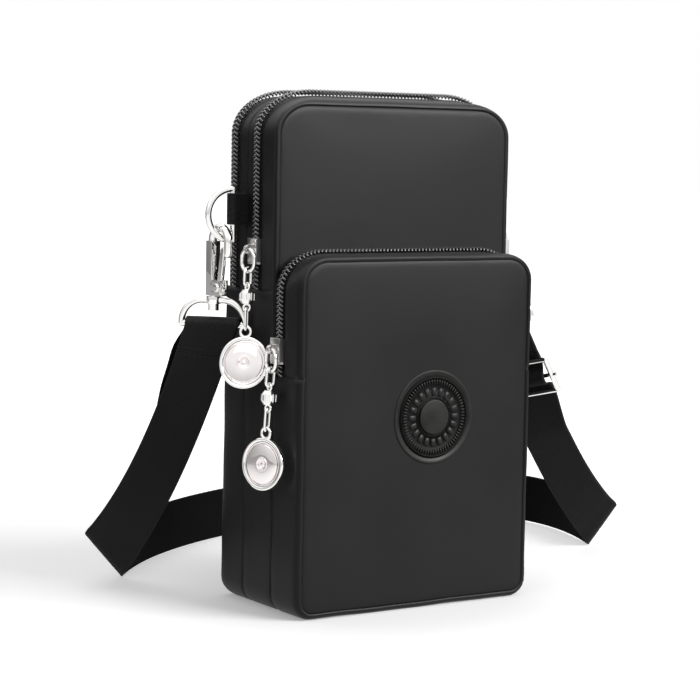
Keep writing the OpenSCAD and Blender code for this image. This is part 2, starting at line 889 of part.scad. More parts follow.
module main_slider() { on_zip(main_place, 0) slider_body(); }
module main_pull() { on_zip(main_place, main_turn) pull_body(); }
module main_link() { on_chain(main_place, 0, main_lean) rotate([0, 0, main_turn]) link_body(); }
module main_bead() { on_chain(main_place, 0, main_lean) bead_body(main_face); }
module main_drop() { color(metal) on_chain(main_place, 0, main_lean) rotate([0, 0, main_face]) drop_body(); }
module main_charm() { on_chain(main_place, 0, main_lean) rotate([0, 0, main_face]) charm_body(); }
module main_charm_cap() { on_chain(main_place, 0, main_lean) rotate([0, 0, main_face]) cap_body(); }
module pocket_slider() { on_zip(pocket_place, 0) slider_body(); }
module pocket_pull() { on_zip(pocket_place, 0) pull_body(); }
module pocket_link() { on_chain(pocket_place, 0, pocket_lean) link_body(); }
module pocket_bead() { on_chain(pocket_place, 0, pocket_lean) bead_body(pocket_face); }
module pocket_drop() {
    color(metal) on_chain(pocket_place, 0, pocket_lean) rotate([0, 0, pocket_face]) drop_body();
}
module pocket_charm() { on_chain(pocket_place, 0, pocket_lean) rotate([0, 0, pocket_face]) charm_body(); }
module pocket_charm_cap() { on_chain(pocket_place, 0, pocket_lean) rotate([0, 0, pocket_face]) cap_body(); }
module rear_slider() { on_zip(rear_place, 180) slider_body(); }
module rear_pull() { on_zip(rear_place, 180) pull_body(); }

back_panel();
rear_gusset();
rear_zip_band();
rear_zip_tape();
rear_zip_coil();
rear_divider();
main_gusset();
main_zip_band();
main_zip_tape();
main_zip_coil();
main_front_panel();
pocket_gusset();
pocket_zip_band();
pocket_zip_tape();
pocket_zip_coil();
pocket_front_panel();
seam_piping();
rear_lining();
main_lining();
pocket_lining();
badge_ring();
badge_centre();
side_tabs();
left_d_ring();
right_d_ring();
left_hook();
left_gate();
left_rivet();
right_hook();
right_gate();
right_rivet();
left_eye();
right_eye();
strap_webbing();
adjuster_frame();
adjuster_bar();
main_slider();
main_pull();
main_link();
main_bead();
main_drop();
main_charm();
main_charm_cap();
pocket_slider();
pocket_pull();
pocket_link();
pocket_bead();
pocket_drop();
pocket_charm();
pocket_charm_cap();
rear_slider();
rear_pull();
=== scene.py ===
# %% [markdown]
# A small upright pouch for a phone: two tall zipped compartments, a zipped pocket in front,
# charms on the zip pulls, and a webbing strap clipped to rings at its sides.
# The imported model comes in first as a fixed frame. Every soft piece is then modelled where
# that frame has its plain solid, and the metal pieces get softened edges and a plated finish.
# %% Load the frame
import json
import math

import bmesh
import bpy
import numpy as np
from mathutils import Matrix, Vector


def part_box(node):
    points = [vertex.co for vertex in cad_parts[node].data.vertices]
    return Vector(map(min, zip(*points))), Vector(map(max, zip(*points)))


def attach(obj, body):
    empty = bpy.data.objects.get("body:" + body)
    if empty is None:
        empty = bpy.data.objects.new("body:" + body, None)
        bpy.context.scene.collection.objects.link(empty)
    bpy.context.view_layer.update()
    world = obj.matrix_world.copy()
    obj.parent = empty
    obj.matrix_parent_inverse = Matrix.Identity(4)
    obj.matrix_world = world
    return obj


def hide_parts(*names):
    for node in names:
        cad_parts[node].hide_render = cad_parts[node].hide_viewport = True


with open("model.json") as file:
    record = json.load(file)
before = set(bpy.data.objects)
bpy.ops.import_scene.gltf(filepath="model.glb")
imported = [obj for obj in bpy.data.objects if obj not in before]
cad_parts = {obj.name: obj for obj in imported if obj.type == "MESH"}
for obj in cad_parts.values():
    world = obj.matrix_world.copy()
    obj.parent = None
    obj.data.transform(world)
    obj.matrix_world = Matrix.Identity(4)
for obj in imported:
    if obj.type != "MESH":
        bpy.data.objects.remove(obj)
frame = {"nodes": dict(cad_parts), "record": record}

MM = 0.001
nodes = frame["nodes"]
scene = bpy.context.scene
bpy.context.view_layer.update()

# %% [markdown]
# The pouch is sewn from flat faces and from long strips that run round their edges. So one
# outline, described once as straight runs and round corners, can place the strips, the tapes,
# the coils, the piping and the faces alike. Its sizes are read from the frame.
# %% Sizes of the sewn body
HALF_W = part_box("rear_zip_band")[1].x
TALL_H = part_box("rear_zip_band")[1].z
LOW_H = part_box("pocket_zip_band")[1].z
FRONT_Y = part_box("pocket_front_panel")[0].y
POCKET_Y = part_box("main_front_panel")[0].y
MIDDLE_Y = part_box("main_gusset")[1].y
BACK_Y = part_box("back_panel")[1].y
BASE_CORNER = 7 * MM
WALL = 2 * MM
print("faces at", [round(y / MM, 1) for y in (FRONT_Y, POCKET_Y, MIDDLE_Y, BACK_Y)])

# Each outline is the height of its top corners and how far it lies in at the sides, the top
# and the base. Then comes how much further in the sides are at the top than at the base, and
# how many times longer the top corners are across than they are high.
TALL_ZIP = (14.5 * MM, 0, 0, 0, 0, 1.5)
TALL_BAND = (14 * MM, 0, 1.1 * MM, 0, 0, 1.45)
TALL_SHOULDER = (12.5 * MM, 0, 2.0 * MM, 0, 0, 1.35)
TALL_SEAM = (10.5 * MM, 0.4 * MM, 4.1 * MM, 1.7 * MM, 0, 1.15)
BACK_SEAM = (13 * MM, 1.6 * MM, 3.6 * MM, 2.4 * MM, 2.9 * MM, 1.3)
LOW_ZIP = (13.5 * MM, 0, 0, 0, 0, 1.25)
LOW_BAND = (13 * MM, 0, 0.8 * MM, 0, 0, 1.25)
LOW_SHOULDER = (10.5 * MM, 0.2 * MM, 0.9 * MM, 0, 0, 1.15)
LOW_SEAM = (8.2 * MM, 1.9 * MM, 2.0 * MM, 1.7 * MM, 0, 1.1)

# %% The outline as runs and corners
LEAST_CORNER = 1 * MM


def foot_radius(box):
    """Radius of an outline's bottom corners, smaller the further in it lies."""
    _, side, _, base, *_rest = box
    return max(BASE_CORNER - (side + base) / 2, LEAST_CORNER)


def round_box(height, box):
    """Runs from the middle of the bottom edge, up the left side, over the top and back."""
    corner, side, top, base, lean, stretch = box
    wide, narrow = HALF_W - side, HALF_W - side - lean
    foot = foot_radius(box)
    low, high = base + foot, height - top - corner
    across = corner * stretch
    return [
        ("run", (0, base), (foot - wide, base)),
        ("bend", (foot - wide, low), foot, 270, 180, foot),
        ("run", (-wide, low), (-narrow, high)),
        ("bend", (across - narrow, high), corner, 180, 90, across),
        ("run", (across - narrow, height - top), (narrow - across, height - top)),
        ("bend", (narrow - across, high), corner, 90, 0, across),
        ("run", (narrow, high), (wide, low)),
        ("bend", (wide - foot, low), foot, 0, -90, foot),
        ("run", (wide - foot, base), (0, base)),
    ]


def mixed(a, b, share):
    """The outline between two others."""
    return tuple(p + (q - p) * share for p, q in zip(a, b))


def deeper(box, d):
    """The outline moved in by a distance all round."""
    corner, side, top, base, lean, stretch = box
    return (max(corner - d, LEAST_CORNER), side + d, top + d, base + d, lean, stretch)


def clamped(share):
    return min(1.0, max(0.0, share))


def run_length(run):
    if run[0] == "run":
        return math.dist(run[1], run[2])
    return (run[2] + run[5]) / 2 * math.radians(run[3] - run[4])


def place(run, share):
    """Point and outward direction, in X and Z, at a share of one run."""
    if run[0] == "run":
        (x0, z0), (x1, z1) = run[1], run[2]
        size = run_length(run)
        return (x0 + (x1 - x0) * share, z0 + (z1 - z0) * share), (-(z1 - z0) / size, (x1 - x0) / size)
    _, (x, z), high, start, end, across = run
    angle = math.radians(start + (end - start) * share)
    ox, oz = math.cos(angle), math.sin(angle)
    steep = math.hypot(ox * high, oz * across)
    return (x + across * ox, z + high * oz), (ox * high / steep, oz * across / steep)


LEFT_SIDE, RIGHT_SIDE = 2, 6
LEVEL_SHARE, BLEND_SHARE = 0.7, 0.3


def matched(runs, guide, i, share):
    """The place on an outline beside a guide's: level with it on a side until near the corner."""
    if i in (LEFT_SIDE, RIGHT_SIDE):
        up = share if i == LEFT_SIDE else 1 - share
        late = clamped((up - LEVEL_SHARE) / BLEND_SHARE)
        late = late * late * (3 - 2 * late)
        z_guide, z_own = place(guide[i], share)[0][1], place(runs[i], share)[0][1]
        z = z_guide * (1 - late) + z_own * late
        z0, z1 = runs[i][1][1], runs[i][2][1]
        share = clamped((z - z0) / (z1 - z0))
    return place(runs[i], share)


def stations(runs, start, end, spacing, extra=()):
    """Places along part of an outline: the length to each, its run and the share of that run."""
    count = max(2, round((end - start) / spacing) + 1)
    lengths = set(np.linspace(start, end, count))
    lengths |= {start + d for d in extra} | {end - d for d in extra}
    found = []
    for s in sorted(lengths):
        rest = s
        for i, run in enumerate(runs):
            size = run_length(run)
            if rest <= size or i == len(runs) - 1:
                break
            rest -= size
        found.append((s, i, min(1.0, rest / size)))
    return found


TALL = round_box(TALL_H, TALL_ZIP)
LOW = round_box(LOW_H, LOW_ZIP)
ROUND_TALL = sum(run_length(r) for r in TALL)
ROUND_LOW = sum(run_length(r) for r in LOW)


def length_to(z):
    """Length along the outline to the height z on the left side."""
    return HALF_W - BASE_CORNER + BASE_CORNER * math.pi / 2 + z - BASE_CORNER


print("round the tall outline", round(ROUND_TALL / MM), "round the pocket", round(ROUND_LOW / MM))

# %% [markdown]
# A mesh made in code needs faces that point outwards and, for cloth, a map of its own in real
# lengths, so that a weave has the same thread everywhere. These helpers do both.
# %% Mesh helpers
CLOTH_MAP = "cloth"


def add_object(name, data):
    thing = bpy.data.objects.new(name, data)
    scene.collection.objects.link(thing)
    return thing


def add_mesh(name, mesh, smooth=True):
    for poly in mesh.polygons:
        poly.use_smooth = smooth
    return add_object(name, mesh)


def piece_from(name, points, faces, uvs=None, smooth=True):
    """A closed mesh object from points and faces, with its normals turned outwards."""
    mesh = bpy.data.meshes.new(name)
    mesh.from_pydata([tuple(p) for p in points], [], faces)
    if uvs is not None:
        layer = mesh.uv_layers.new(name=CLOTH_MAP)
        for poly in mesh.polygons:
            for loop, uv in zip(poly.loop_indices, uvs[poly.index]):
                layer.data[loop].uv = uv
    shape = bmesh.new()
    shape.from_mesh(mesh)
    bmesh.ops.recalc_face_normals(shape, faces=shape.faces)
    shape.to_mesh(mesh)
    shape.free()
    return add_mesh(name, mesh, smooth)


def tube_faces(n, k, loop=False, ring=True):
    """Quads between n sections of k points. A loop joins its last section to its first."""
    return [
        (i * k + j, i * k + (j + 1) % k, (i + 1) % n * k + (j + 1) % k, (i + 1) % n * k + j)
        for i in range(n if loop else n - 1) for j in range(k if ring else k - 1)
    ]


def sweep(name, sections, lengths, closed=False, across=None):
    """A solid through closed cross-sections of equal count, with caps unless it closes on itself."""
    n, k = len(sections), len(sections[0])
    if across is None:
        gaps = [math.dist(sections[0][j], sections[0][(j + 1) % k]) for j in range(k)]
        across = np.concatenate([[0], np.cumsum(gaps)])
    points = [p for section in sections for p in section]
    faces, uvs = tube_faces(n, k, loop=closed), []
    for v0, v1 in zip(lengths, lengths[1:]):
        for u0, u1 in zip(across, across[1:]):
            uvs.append([(u0, v0), (u1, v0), (u1, v1), (u0, v1)])
    if not closed:
        for i in (0, n - 1):
            faces.append(tuple(range(i * k, i * k + k)))
            uvs.append([(across[j], lengths[i]) for j in range(k)])
    return piece_from(name, points, faces, uvs)


def arc(centre, radius, a0, a1, steps):
    """Points on an arc in a profile's own plane, angles in degrees."""
    x, y = centre
    angles = np.radians(np.linspace(a0, a1, steps))
    return [(x + radius * math.cos(a), y + radius * math.sin(a)) for a in angles]


def strip(name, guide, places, profile, lengths=None, dent=None):
    """A strip round the body. Each profile point is a depth and the outline that it follows."""
    lengths = lengths or [s for s, _, _ in places]
    sections = []
    for (_, i, share), s in zip(places, lengths):
        down = dent(s) if dent else 0.0
        section = []
        for y, runs in profile:
            (x, z), (ox, oz) = matched(runs, guide, i, share)
            section.append((x - down * ox, y, z - down * oz))
        sections.append(section)
    return sweep(name, sections, lengths)


def unit(v):
    return v / np.linalg.norm(v)


FACING_FRONT = (np.array((0, -1, 0)), np.array((1, 0, 0)), np.array((0, 0, 1)))


def revolve(name, profile, centre, turns, axes=FACING_FRONT):
    """Turns (radius, height) points about the first axis through a centre."""
    normal, u, v = axes
    points = []
    for i in range(turns):
        a = 2 * math.pi * i / turns
        for r, h in profile:
            points.append(np.array(centre) + r * (math.cos(a) * u + math.sin(a) * v) + h * normal)
    k = len(profile)
    faces = tube_faces(turns, k, loop=True, ring=False)
    faces += [tuple(i * k + end for i in range(turns)) for end in (0, k - 1)]
    return piece_from(name, points, faces)


def finish_piece(piece, body, material, slot, *stands_for):
    """Gives a piece its material, attaches it to its body and hides the solids it stands for."""
    piece.data.materials.clear()
    piece.data.materials.append(material)
    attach(piece, body)
    if stands_for:
        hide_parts(*stands_for)
    return piece


# %% [markdown]
# ## Finishes
# Cloth is drawn by a weave: threads that pass over and under each other. The same small
# pattern serves the coated nylon, the twill webbing and the zip tape, each with its own
# thread and repeat, so it is one node group with named inputs.
# %% The weave group
def new_group(name, inputs, outputs, kind="ShaderNodeTree"):
    """An empty node tree with named inputs and outputs."""
    tree = bpy.data.node_groups.new(name, kind)
    for side, sockets in (("INPUT", inputs), ("OUTPUT", outputs)):
        for label, value in sockets:
            tree.interface.new_socket(label, in_out=side, socket_type="NodeSocket" + value)
    return tree, tree.nodes.new("NodeGroupInput"), tree.nodes.new("NodeGroupOutput")


def parts_of(tree, vector):
    """The three parts of a vector."""
    node = tree.nodes.new("ShaderNodeSeparateXYZ")
    tree.links.new(vector, node.inputs[0])
    return node.outputs


def math_node(tree, operation, a, b=None, c=None):
    """A Math node whose inputs are sockets or numbers, and its result."""
    node = tree.nodes.new("ShaderNodeMath")
    node.operation = operation
    for socket, value in zip(node.inputs, (a, b, c)):
        if value is None:
            continue
        if isinstance(value, (int, float)):
            socket.default_value = value
        else:
            tree.links.new(value, socket)
    return node.outputs[0]


def weave_group():
    """A plain weave at a repeat of 2, a twill at 4: which thread lies on top, and how high."""
    inputs = [("Map", "Vector"), ("Thread", "Float"), ("Repeat", "Float")]
    tree, given, result = new_group("weave", inputs, [("Height", "Float"), ("Warp", "Float")])
    across, along, _ = parts_of(tree, given.outputs["Map"])
    u = math_node(tree, "DIVIDE", across, given.outputs["Thread"])
    v = math_node(tree, "DIVIDE", along, given.outputs["Thread"])
    steps = math_node(tree, "ADD", math_node(tree, "FLOOR", u), math_node(tree, "FLOOR", v))
    share = math_node(tree, "FRACT", math_node(tree, "DIVIDE", steps, given.outputs["Repeat"]))
    warp = math_node(tree, "LESS_THAN", share, 0.499)
    turns = [math_node(tree, "MULTIPLY", w, math.pi) for w in (u, v)]
    ridge_u, ridge_v = (math_node(tree, "ABSOLUTE", math_node(tree, "SINE", turn)) for turn in turns)
    over = math_node(tree, "MULTIPLY", ridge_u, warp)
    under = math_node(tree, "MULTIPLY", ridge_v, math_node(tree, "SUBTRACT", 1.0, warp))
    tree.links.new(math_node(tree, "ADD", over, under), result.inputs["Height"])
    tree.links.new(warp, result.inputs["Warp"])
    return tree


WEAVE = weave_group()


# %% Material helpers
def new_material(name):
    made = bpy.data.materials.new(name)
    made.use_nodes = True
    return made, made.node_tree, made.node_tree.nodes["Principled BSDF"]


def noise(tree, vector, scale, detail=3.0, roughness=0.55):
    node = tree.nodes.new("ShaderNodeTexNoise")
    node.inputs["Scale"].default_value = scale
    node.inputs["Detail"].default_value = detail
    node.inputs["Roughness"].default_value = roughness
    tree.links.new(vector, node.inputs["Vector"])
    return node.outputs["Fac"]


def ramp(tree, value, low, high, dark, light):
    """Maps a value between two levels to a colour between two colours."""
    node = tree.nodes.new("ShaderNodeMapRange")
    node.data_type = "FLOAT_VECTOR"
    for i, amount in ((7, (low,) * 3), (8, (high,) * 3), (9, dark), (10, light)):
        node.inputs[i].default_value = amount
    spread = tree.nodes.new("ShaderNodeCombineXYZ")
    for i in range(3):
        tree.links.new(value, spread.inputs[i])
    tree.links.new(spread.outputs[0], node.inputs[6])
    return node.outputs[1]


def level(tree, value, low, high, out_low, out_high):
    """Maps a value between two levels to a number between two numbers."""
    node = tree.nodes.new("ShaderNodeMapRange")
    for i, amount in enumerate((low, high, out_low, out_high), 1):
        node.inputs[i].default_value = amount
    tree.links.new(value, node.inputs[0])
    return node.outputs[0]


def bump(tree, height, strength, distance, under=None):
    node = tree.nodes.new("ShaderNodeBump")
    node.inputs["Strength"].default_value = strength
    node.inputs["Distance"].default_value = distance
    tree.links.new(height, node.inputs["Height"])
    if under is not None:
        tree.links.new(under, node.inputs["Normal"])
    return node.outputs["Normal"]


def place_in(tree, kind):
    """Object coordinates or the piece's own cloth map."""
    if kind == "Object":
        return tree.nodes.new("ShaderNodeTexCoord").outputs["Object"]
    node = tree.nodes.new("ShaderNodeUVMap")
    node.uv_map = CLOTH_MAP
    return node.outputs["UV"]


def weave(tree, thread, repeat):
    node = tree.nodes.new("ShaderNodeGroup")
    node.node_tree = WEAVE
    node.inputs["Thread"].default_value = thread
    node.inputs["Repeat"].default_value = repeat
    tree.links.new(place_in(tree, "cloth"), node.inputs["Map"])
    return node


# %% Cloth finishes
def cloth_material(name, dark, light, rough, thread, repeat, depth, crumple, sheen, specular):
    """Woven cloth: a thread pattern, faint clouds in its colour and soft creases. Lengths in mm."""
    made, tree, shader = new_material(name)
    threads = weave(tree, thread * MM, repeat)
    clouds = noise(tree, place_in(tree, "Object"), 28.0, 4.0)
    from_threads = math_node(tree, "MULTIPLY", threads.outputs["Height"], 0.45)
    shade = math_node(tree, "MULTIPLY_ADD", clouds, 0.55, from_threads)
    tree.links.new(ramp(tree, shade, 0.2, 0.85, dark, light), shader.inputs["Base Color"])
    tree.links.new(level(tree, clouds, 0.3, 0.7, rough - 0.05, rough + 0.05), shader.inputs["Roughness"])
    soft = bump(tree, noise(tree, place_in(tree, "Object"), 55.0, 2.0), 0.25, crumple * MM)
    tree.links.new(bump(tree, threads.outputs["Height"], 0.5, depth * MM, soft), shader.inputs["Normal"])
    shader.inputs["Specular IOR Level"].default_value = specular
    shader.inputs["Sheen Weight"].default_value = sheen
    shader.inputs["Sheen Roughness"].default_value = 0.45
    return made


def grey(value, blue=0.0):
    return (value, value, value + blue)


NYLON = cloth_material(
    "coated_nylon", grey(0.010, 0.0005), grey(0.015, 0.001), 0.44, 0.28, 2, 0.03, 0.25, 0.02, 0.36
)
WEBBING = cloth_material(
    "twill_webbing", (0.0125, 0.012, 0.012), (0.027, 0.026, 0.026), 0.62, 0.62, 4, 0.16, 0.15, 0.08, 0.3
)
# a darker copy of the webbing finish: painted shade for the strap face that lies in shadow
WEBBING_PAINTED_SHADE = cloth_material("twill_webbing_painted_shade", grey(0.003), grey(0.006), 0.8, 0.62, 4, 0.16, 0.15, 0, 0.1)
TAPE = cloth_material("zip_tape", grey(0.008), grey(0.02), 0.66, 0.45, 2, 0.14, 0.1, 0.2, 0.4)
LINING = cloth_material("plain_lining", grey(0.05, 0.005), grey(0.075, 0.005), 0.6, 0.3, 2, 0.05, 0.4, 0.2, 0.4)


# %% Plastic, rubber and metal finishes
def plain_material(name, dark, light, rough, metal, grain_scale, grain, specular=0.5, coat=0.0):
    """A solid finish with a faint change of colour and gloss and a fine grain, in mm."""
    made, tree, shader = new_material(name)
    here = place_in(tree, "Object")
    clouds = noise(tree, here, grain_scale * 0.12, 3.0)
    tree.links.new(ramp(tree, clouds, 0.3, 0.7, dark, light), shader.inputs["Base Color"])
    tree.links.new(level(tree, clouds, 0.3, 0.7, rough * 0.85, rough * 1.15), shader.inputs["Roughness"])
    tree.links.new(bump(tree, noise(tree, here, grain_scale, 2.0), 0.3, grain * MM), shader.inputs["Normal"])
    shader.inputs["Metallic"].default_value = metal
    shader.inputs["Specular IOR Level"].default_value = specular
    shader.inputs["Coat Weight"].default_value = coat
    shader.inputs["Coat IOR"].default_value = 1.9 if coat else 1.5
    return made


COIL = plain_material("nylon_coil", grey(0.006), grey(0.011), 0.13, 0, 900, 0.01, 1.0, 1.0)
RUBBER = plain_material("moulded_rubber", grey(0.018, -0.0015), grey(0.028, -0.002), 0.46, 0, 1600, 0.03, 0.35)
DARK_RUBBER = plain_material("moulded_rubber_low", grey(0.004), grey(0.009), 0.55, 0, 1600, 0.03, 0.2)
THREAD = plain_material("sewing_thread", grey(0.003), grey(0.007), 0.5, 0, 2500, 0.02)
NICKEL = plain_material("bright_nickel", (0.86, 0.85, 0.83), (0.95, 0.94, 0.925), 0, 1, 500, 0.005)
CAST = plain_material("cast_nickel", (0.88, 0.87, 0.85), (0.96, 0.95, 0.935), 0.3, 1, 700, 0.006)
SATIN = plain_material("satin_steel", (0.88, 0.84, 0.83), (0.93, 0.89, 0.88), 0, 1, 1400, 0.02)

# %% [markdown]
# ## The strips round the compartments
# Each compartment has a lower gusset and, above it, two bands with the zip between them. A
# strip is padded, so its long edges roll over before they dive into a seam. The profile of a
# strip is drawn once in the plane across it, and swept along the outline.
# %% Strip profiles
ROLL, BACK_ROLL = 3 * MM, 6 * MM
TUCK = 0.9 * MM
FOLD = 0.55 * MM
LOW_TUCK_IN, TALL_TUCK_IN = 1.2 * MM, 0.9 * MM
TURN_STEPS = 6


def rolled(y, depth, shoulder, seam, height):
    """Quarter of an ellipse from a shoulder outline to a seam outline; depth is signed."""
    return [
        (y + depth * math.sin(a), round_box(height, mixed(shoulder, seam, 1 - math.cos(a))))
        for a in np.linspace(0, math.pi / 2, TURN_STEPS)
    ]


def strip_profile(y0, y1, height, front, back):
    """Closed profile from y0 to y1. Each end is its roll depth, shoulder outline and seam outline."""
    (fd, f_shoulder, f_seam), (bd, b_shoulder, b_seam) = front, back
    low, high = y0 + fd, y1 - bd
    skin = rolled(low, -fd, f_shoulder, f_seam, height)[::-1]
    skin += [
        (low + (high - low) * t, round_box(height, mixed(f_shoulder, b_shoulder, t))) for t in (0.25, 0.5, 0.75)
    ]
    skin += rolled(high, bd, b_shoulder, b_seam, height)
    for y, shoulder, seam in ((y1, b_shoulder, b_seam), (y0, f_shoulder, f_seam)):
        skin.append((y, round_box(height, deeper(shoulder, max(WALL + 0.2 * MM, seam[1] + 0.3 * MM)))))
    return skin


def coil_y(which):
    low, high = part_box(which + "_zip_coil")
    return (low.y + high.y) / 2


COMPARTMENTS = {
    "pocket": (LOW, ROUND_LOW, LOW_H, LOW_ZIP, LOW_BAND, FRONT_Y, POCKET_Y),
    "main": (TALL, ROUND_TALL, TALL_H, TALL_ZIP, TALL_BAND, POCKET_Y, MIDDLE_Y),
    "rear": (TALL, ROUND_TALL, TALL_H, TALL_ZIP, TALL_BAND, MIDDLE_Y, BACK_Y),
}
TALL_TUCKED = (TUCK, TALL_BAND, deeper(TALL_BAND, TALL_TUCK_IN))
ENDS = {
    "pocket": ((ROLL, LOW_SHOULDER, LOW_SEAM), (TUCK, LOW_BAND, deeper(LOW_BAND, LOW_TUCK_IN))),
    "main": ((ROLL, TALL_SHOULDER, TALL_SEAM), TALL_TUCKED),
    "rear": (TALL_TUCKED, (BACK_ROLL, TALL_BAND, BACK_SEAM)),
}

# %% Gussets and zip bands
TAPE_HALF = 3.0 * MM
FOLD_IN = 1.15 * MM
STEP = 2 * MM
GUSSET_RIPPLE, BAND_RIPPLE = 0.1 * MM, 0.05 * MM
NEAR_END = (0.25 * MM, 0.6 * MM, 1.1 * MM, 1.8 * MM)
# the last strip slopes from the rear zip down to the back seam
SLOPE_IN, SLOPE_ROLL, SLOPE_SHARE = 1.2 * MM, 1.6 * MM, 0.85
CREASE, CREASE_REACH, RIPPLE_START = 0.45 * MM, 0.7 * MM, 6 * MM
LONG_WAVE, SHORT_WAVE = 9.1 * MM, 3.7 * MM


def creased(start, end, ripple):
    """Faint ripples along a strip, and a crease where each of its ends is sewn on."""
    def dent(s):
        near = min(s - start, end - s)
        wave = math.sin(s / LONG_WAVE) + 0.6 * math.sin(s / SHORT_WAVE + 1.3)
        soft = min(1.0, near / RIPPLE_START)
        return ripple * soft * wave + CREASE * math.exp(-((near / CREASE_REACH) ** 2))

    return dent


for which, (runs, whole, height, _, banded, y0, y1) in COMPARTMENTS.items():
    zip_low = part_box(which + "_gusset")[1].z
    left = length_to(zip_low)
    middle = coil_y(which)
    front, back = ENDS[which]
    folded = (FOLD, banded, deeper(banded, FOLD_IN))
    right_part = stations(runs, whole - left, whole, STEP, NEAR_END)
    left_part = stations(runs, 0, left, STEP, NEAR_END)[1:]
    lengths = [s for s, _, _ in right_part] + [s + whole for s, _, _ in left_part]
    gusset = strip(
        which + "_gusset_cloth", runs, right_part + left_part, strip_profile(y0, y1, height, front, back), lengths,
        creased(lengths[0], lengths[-1], GUSSET_RIPPLE),
    )
    finish_piece(gusset, "pouch", NYLON, "shell", which + "_gusset")
    folds = (folded, back)
    if which == "rear":
        sloped = (FOLD, deeper(TALL_BAND, TALL_TUCK_IN), deeper(TALL_BAND, SLOPE_IN))
        folds = (sloped, (SLOPE_ROLL, mixed(TALL_BAND, BACK_SEAM, SLOPE_SHARE), BACK_SEAM))
    over = stations(runs, left, whole - left, STEP, NEAR_END)
    dent = creased(left, whole - left, BAND_RIPPLE)
    for label, profile in (
        ("front", strip_profile(y0, middle - TAPE_HALF, height, front, folded)),
        ("rear", strip_profile(middle + TAPE_HALF, y1, height, *folds)),
    ):
        cloth = strip(f"{which}_band_{label}", runs, over, profile, dent=dent)
        finish_piece(cloth, "pouch", NYLON, "shell", which + "_zip_band")
    print(which, "zip from", round(zip_low / MM, 1), "mm, coil at y", round(middle / MM, 1))

# %% [markdown]
# ## The zips
# The tape lies a little lower than the bands. On it two rows of nylon loops mesh like a
# braid. One loop is a bent bead of a few dozen faces; Geometry Nodes set it out at an even
# pitch along the outline, which keeps every loop square to the bend it lies on.
# %% Zip tapes
TAPE_IN = 0.9 * MM
TAPE_T = 0.6 * MM
TAPE_REACH = TAPE_HALF + 0.6 * MM
for which, (runs, whole, height, zipped, *_rest) in COMPARTMENTS.items():
    left = length_to(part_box(which + "_gusset")[1].z)
    middle = coil_y(which)
    upper, lower = (round_box(height, deeper(zipped, d)) for d in (TAPE_IN, TAPE_IN + TAPE_T))
    profile = [(middle + TAPE_REACH * t, upper) for t in (-1, -0.5, 0, 0.5, 1)]
    profile += [(middle + TAPE_REACH * t, lower) for t in (1, -1)]
    tape = strip(which + "_tape_cloth", runs, stations(runs, left, whole - left, STEP), profile)
    finish_piece(tape, "pouch", TAPE, "trim", which + "_zip_tape")


# %% One loop of a coil
def bent_bead(name, path, radius, sides=6):
    """A short bent rod with pointed ends, used as one loop of a coil or one stitch."""
    path = [Vector(p) for p in path]
    last = len(path) - 1
    points = []
    for i, p in enumerate(path):
        ahead = (path[min(i + 1, last)] - path[max(i - 1, 0)]).normalized()
        side = ahead.cross(Vector((0, 0, 1)) if abs(ahead.z) < 0.9 else Vector((1, 0, 0))).normalized()
        other = ahead.cross(side)
        size = radius * (0.45 if i in (0, last) else 1.0)
        for a in np.linspace(0, 2 * math.pi, sides, endpoint=False):
            points.append(p + size * (math.cos(a) * side + math.sin(a) * other))
    ends = [tuple(range(sides)), tuple(range(last * sides, len(points)))]
    bead = piece_from(name, points, tube_faces(len(path), sides) + ends)
    bead.hide_render = True
    return bead


COIL_PITCH = 1.5 * MM
COIL_R = 0.42 * MM
# one loop as places outwards and across the tape, in mm, and along the zip, in pitches
COIL_PATH = ((-0.4, 1.95, -0.3), (0.5, 1.7, -0.28), (0.95, 0.75, 0.1), (0.75, 0.02, 0.45), (-0.2, -0.2, 0.6))


def coil_loop(side):
    """One loop of a row; side is -1 or 1 across the tape."""
    path = [(out * MM, side * across * MM, along * COIL_PITCH) for out, across, along in COIL_PATH]
    return bent_bead(f"coil_loop_{side}", path, COIL_R)


loops = {side: coil_loop(side) for side in (-1, 1)}

# %% [markdown]
# Small pieces that repeat are stood on points by Geometry Nodes. Every such tree ends in the
# same way: one piece on each point, made real, because the export drops instances, and given
# its material. So that end is written once, and the zips and the badge only differ in how
# they make and turn their points.
# %% What every tree of small pieces shares
def piece_tree(name, *inputs):
    """An empty tree with a piece, a finish and further named inputs."""
    sockets = [("Geometry", "Geometry"), ("Piece", "Object"), ("Finish", "Material"), *inputs]
    return new_group(name, sockets, [("Geometry", "Geometry")], "GeometryNodeTree")


def aligned(tree, axis, vector, rotation=None):
    """Turns one axis towards a vector, and about Z alone where a rotation is given before it."""
    node = tree.nodes.new("FunctionNodeAlignRotationToVector")
    node.axis = axis
    if axis == "X":
        node.pivot_axis = "Z"
    tree.links.new(vector, node.inputs["Vector"])
    if rotation is not None:
        tree.links.new(rotation, node.inputs["Rotation"])
    return node.outputs[0]


def stand_on(tree, given, result, points, rotation):
    """The end of a tree: one piece on each point, as real geometry with its finish."""
    piece, stand, real, paint = (
        tree.nodes.new("GeometryNode" + kind)
        for kind in ("ObjectInfo", "InstanceOnPoints", "RealizeInstances", "SetMaterial")
    )
    for source, target in (
        (given.outputs["Piece"], piece.inputs["Object"]),
        (points, stand.inputs["Points"]),
        (piece.outputs["Geometry"], stand.inputs["Instance"]),
        (rotation, stand.inputs["Rotation"]),
        (stand.outputs["Instances"], real.inputs["Geometry"]),
        (real.outputs["Geometry"], paint.inputs["Geometry"]),
        (given.outputs["Finish"], paint.inputs["Material"]),
        (paint.outputs["Geometry"], result.inputs["Geometry"]),
    ):
        tree.links.new(source, target)
    return tree


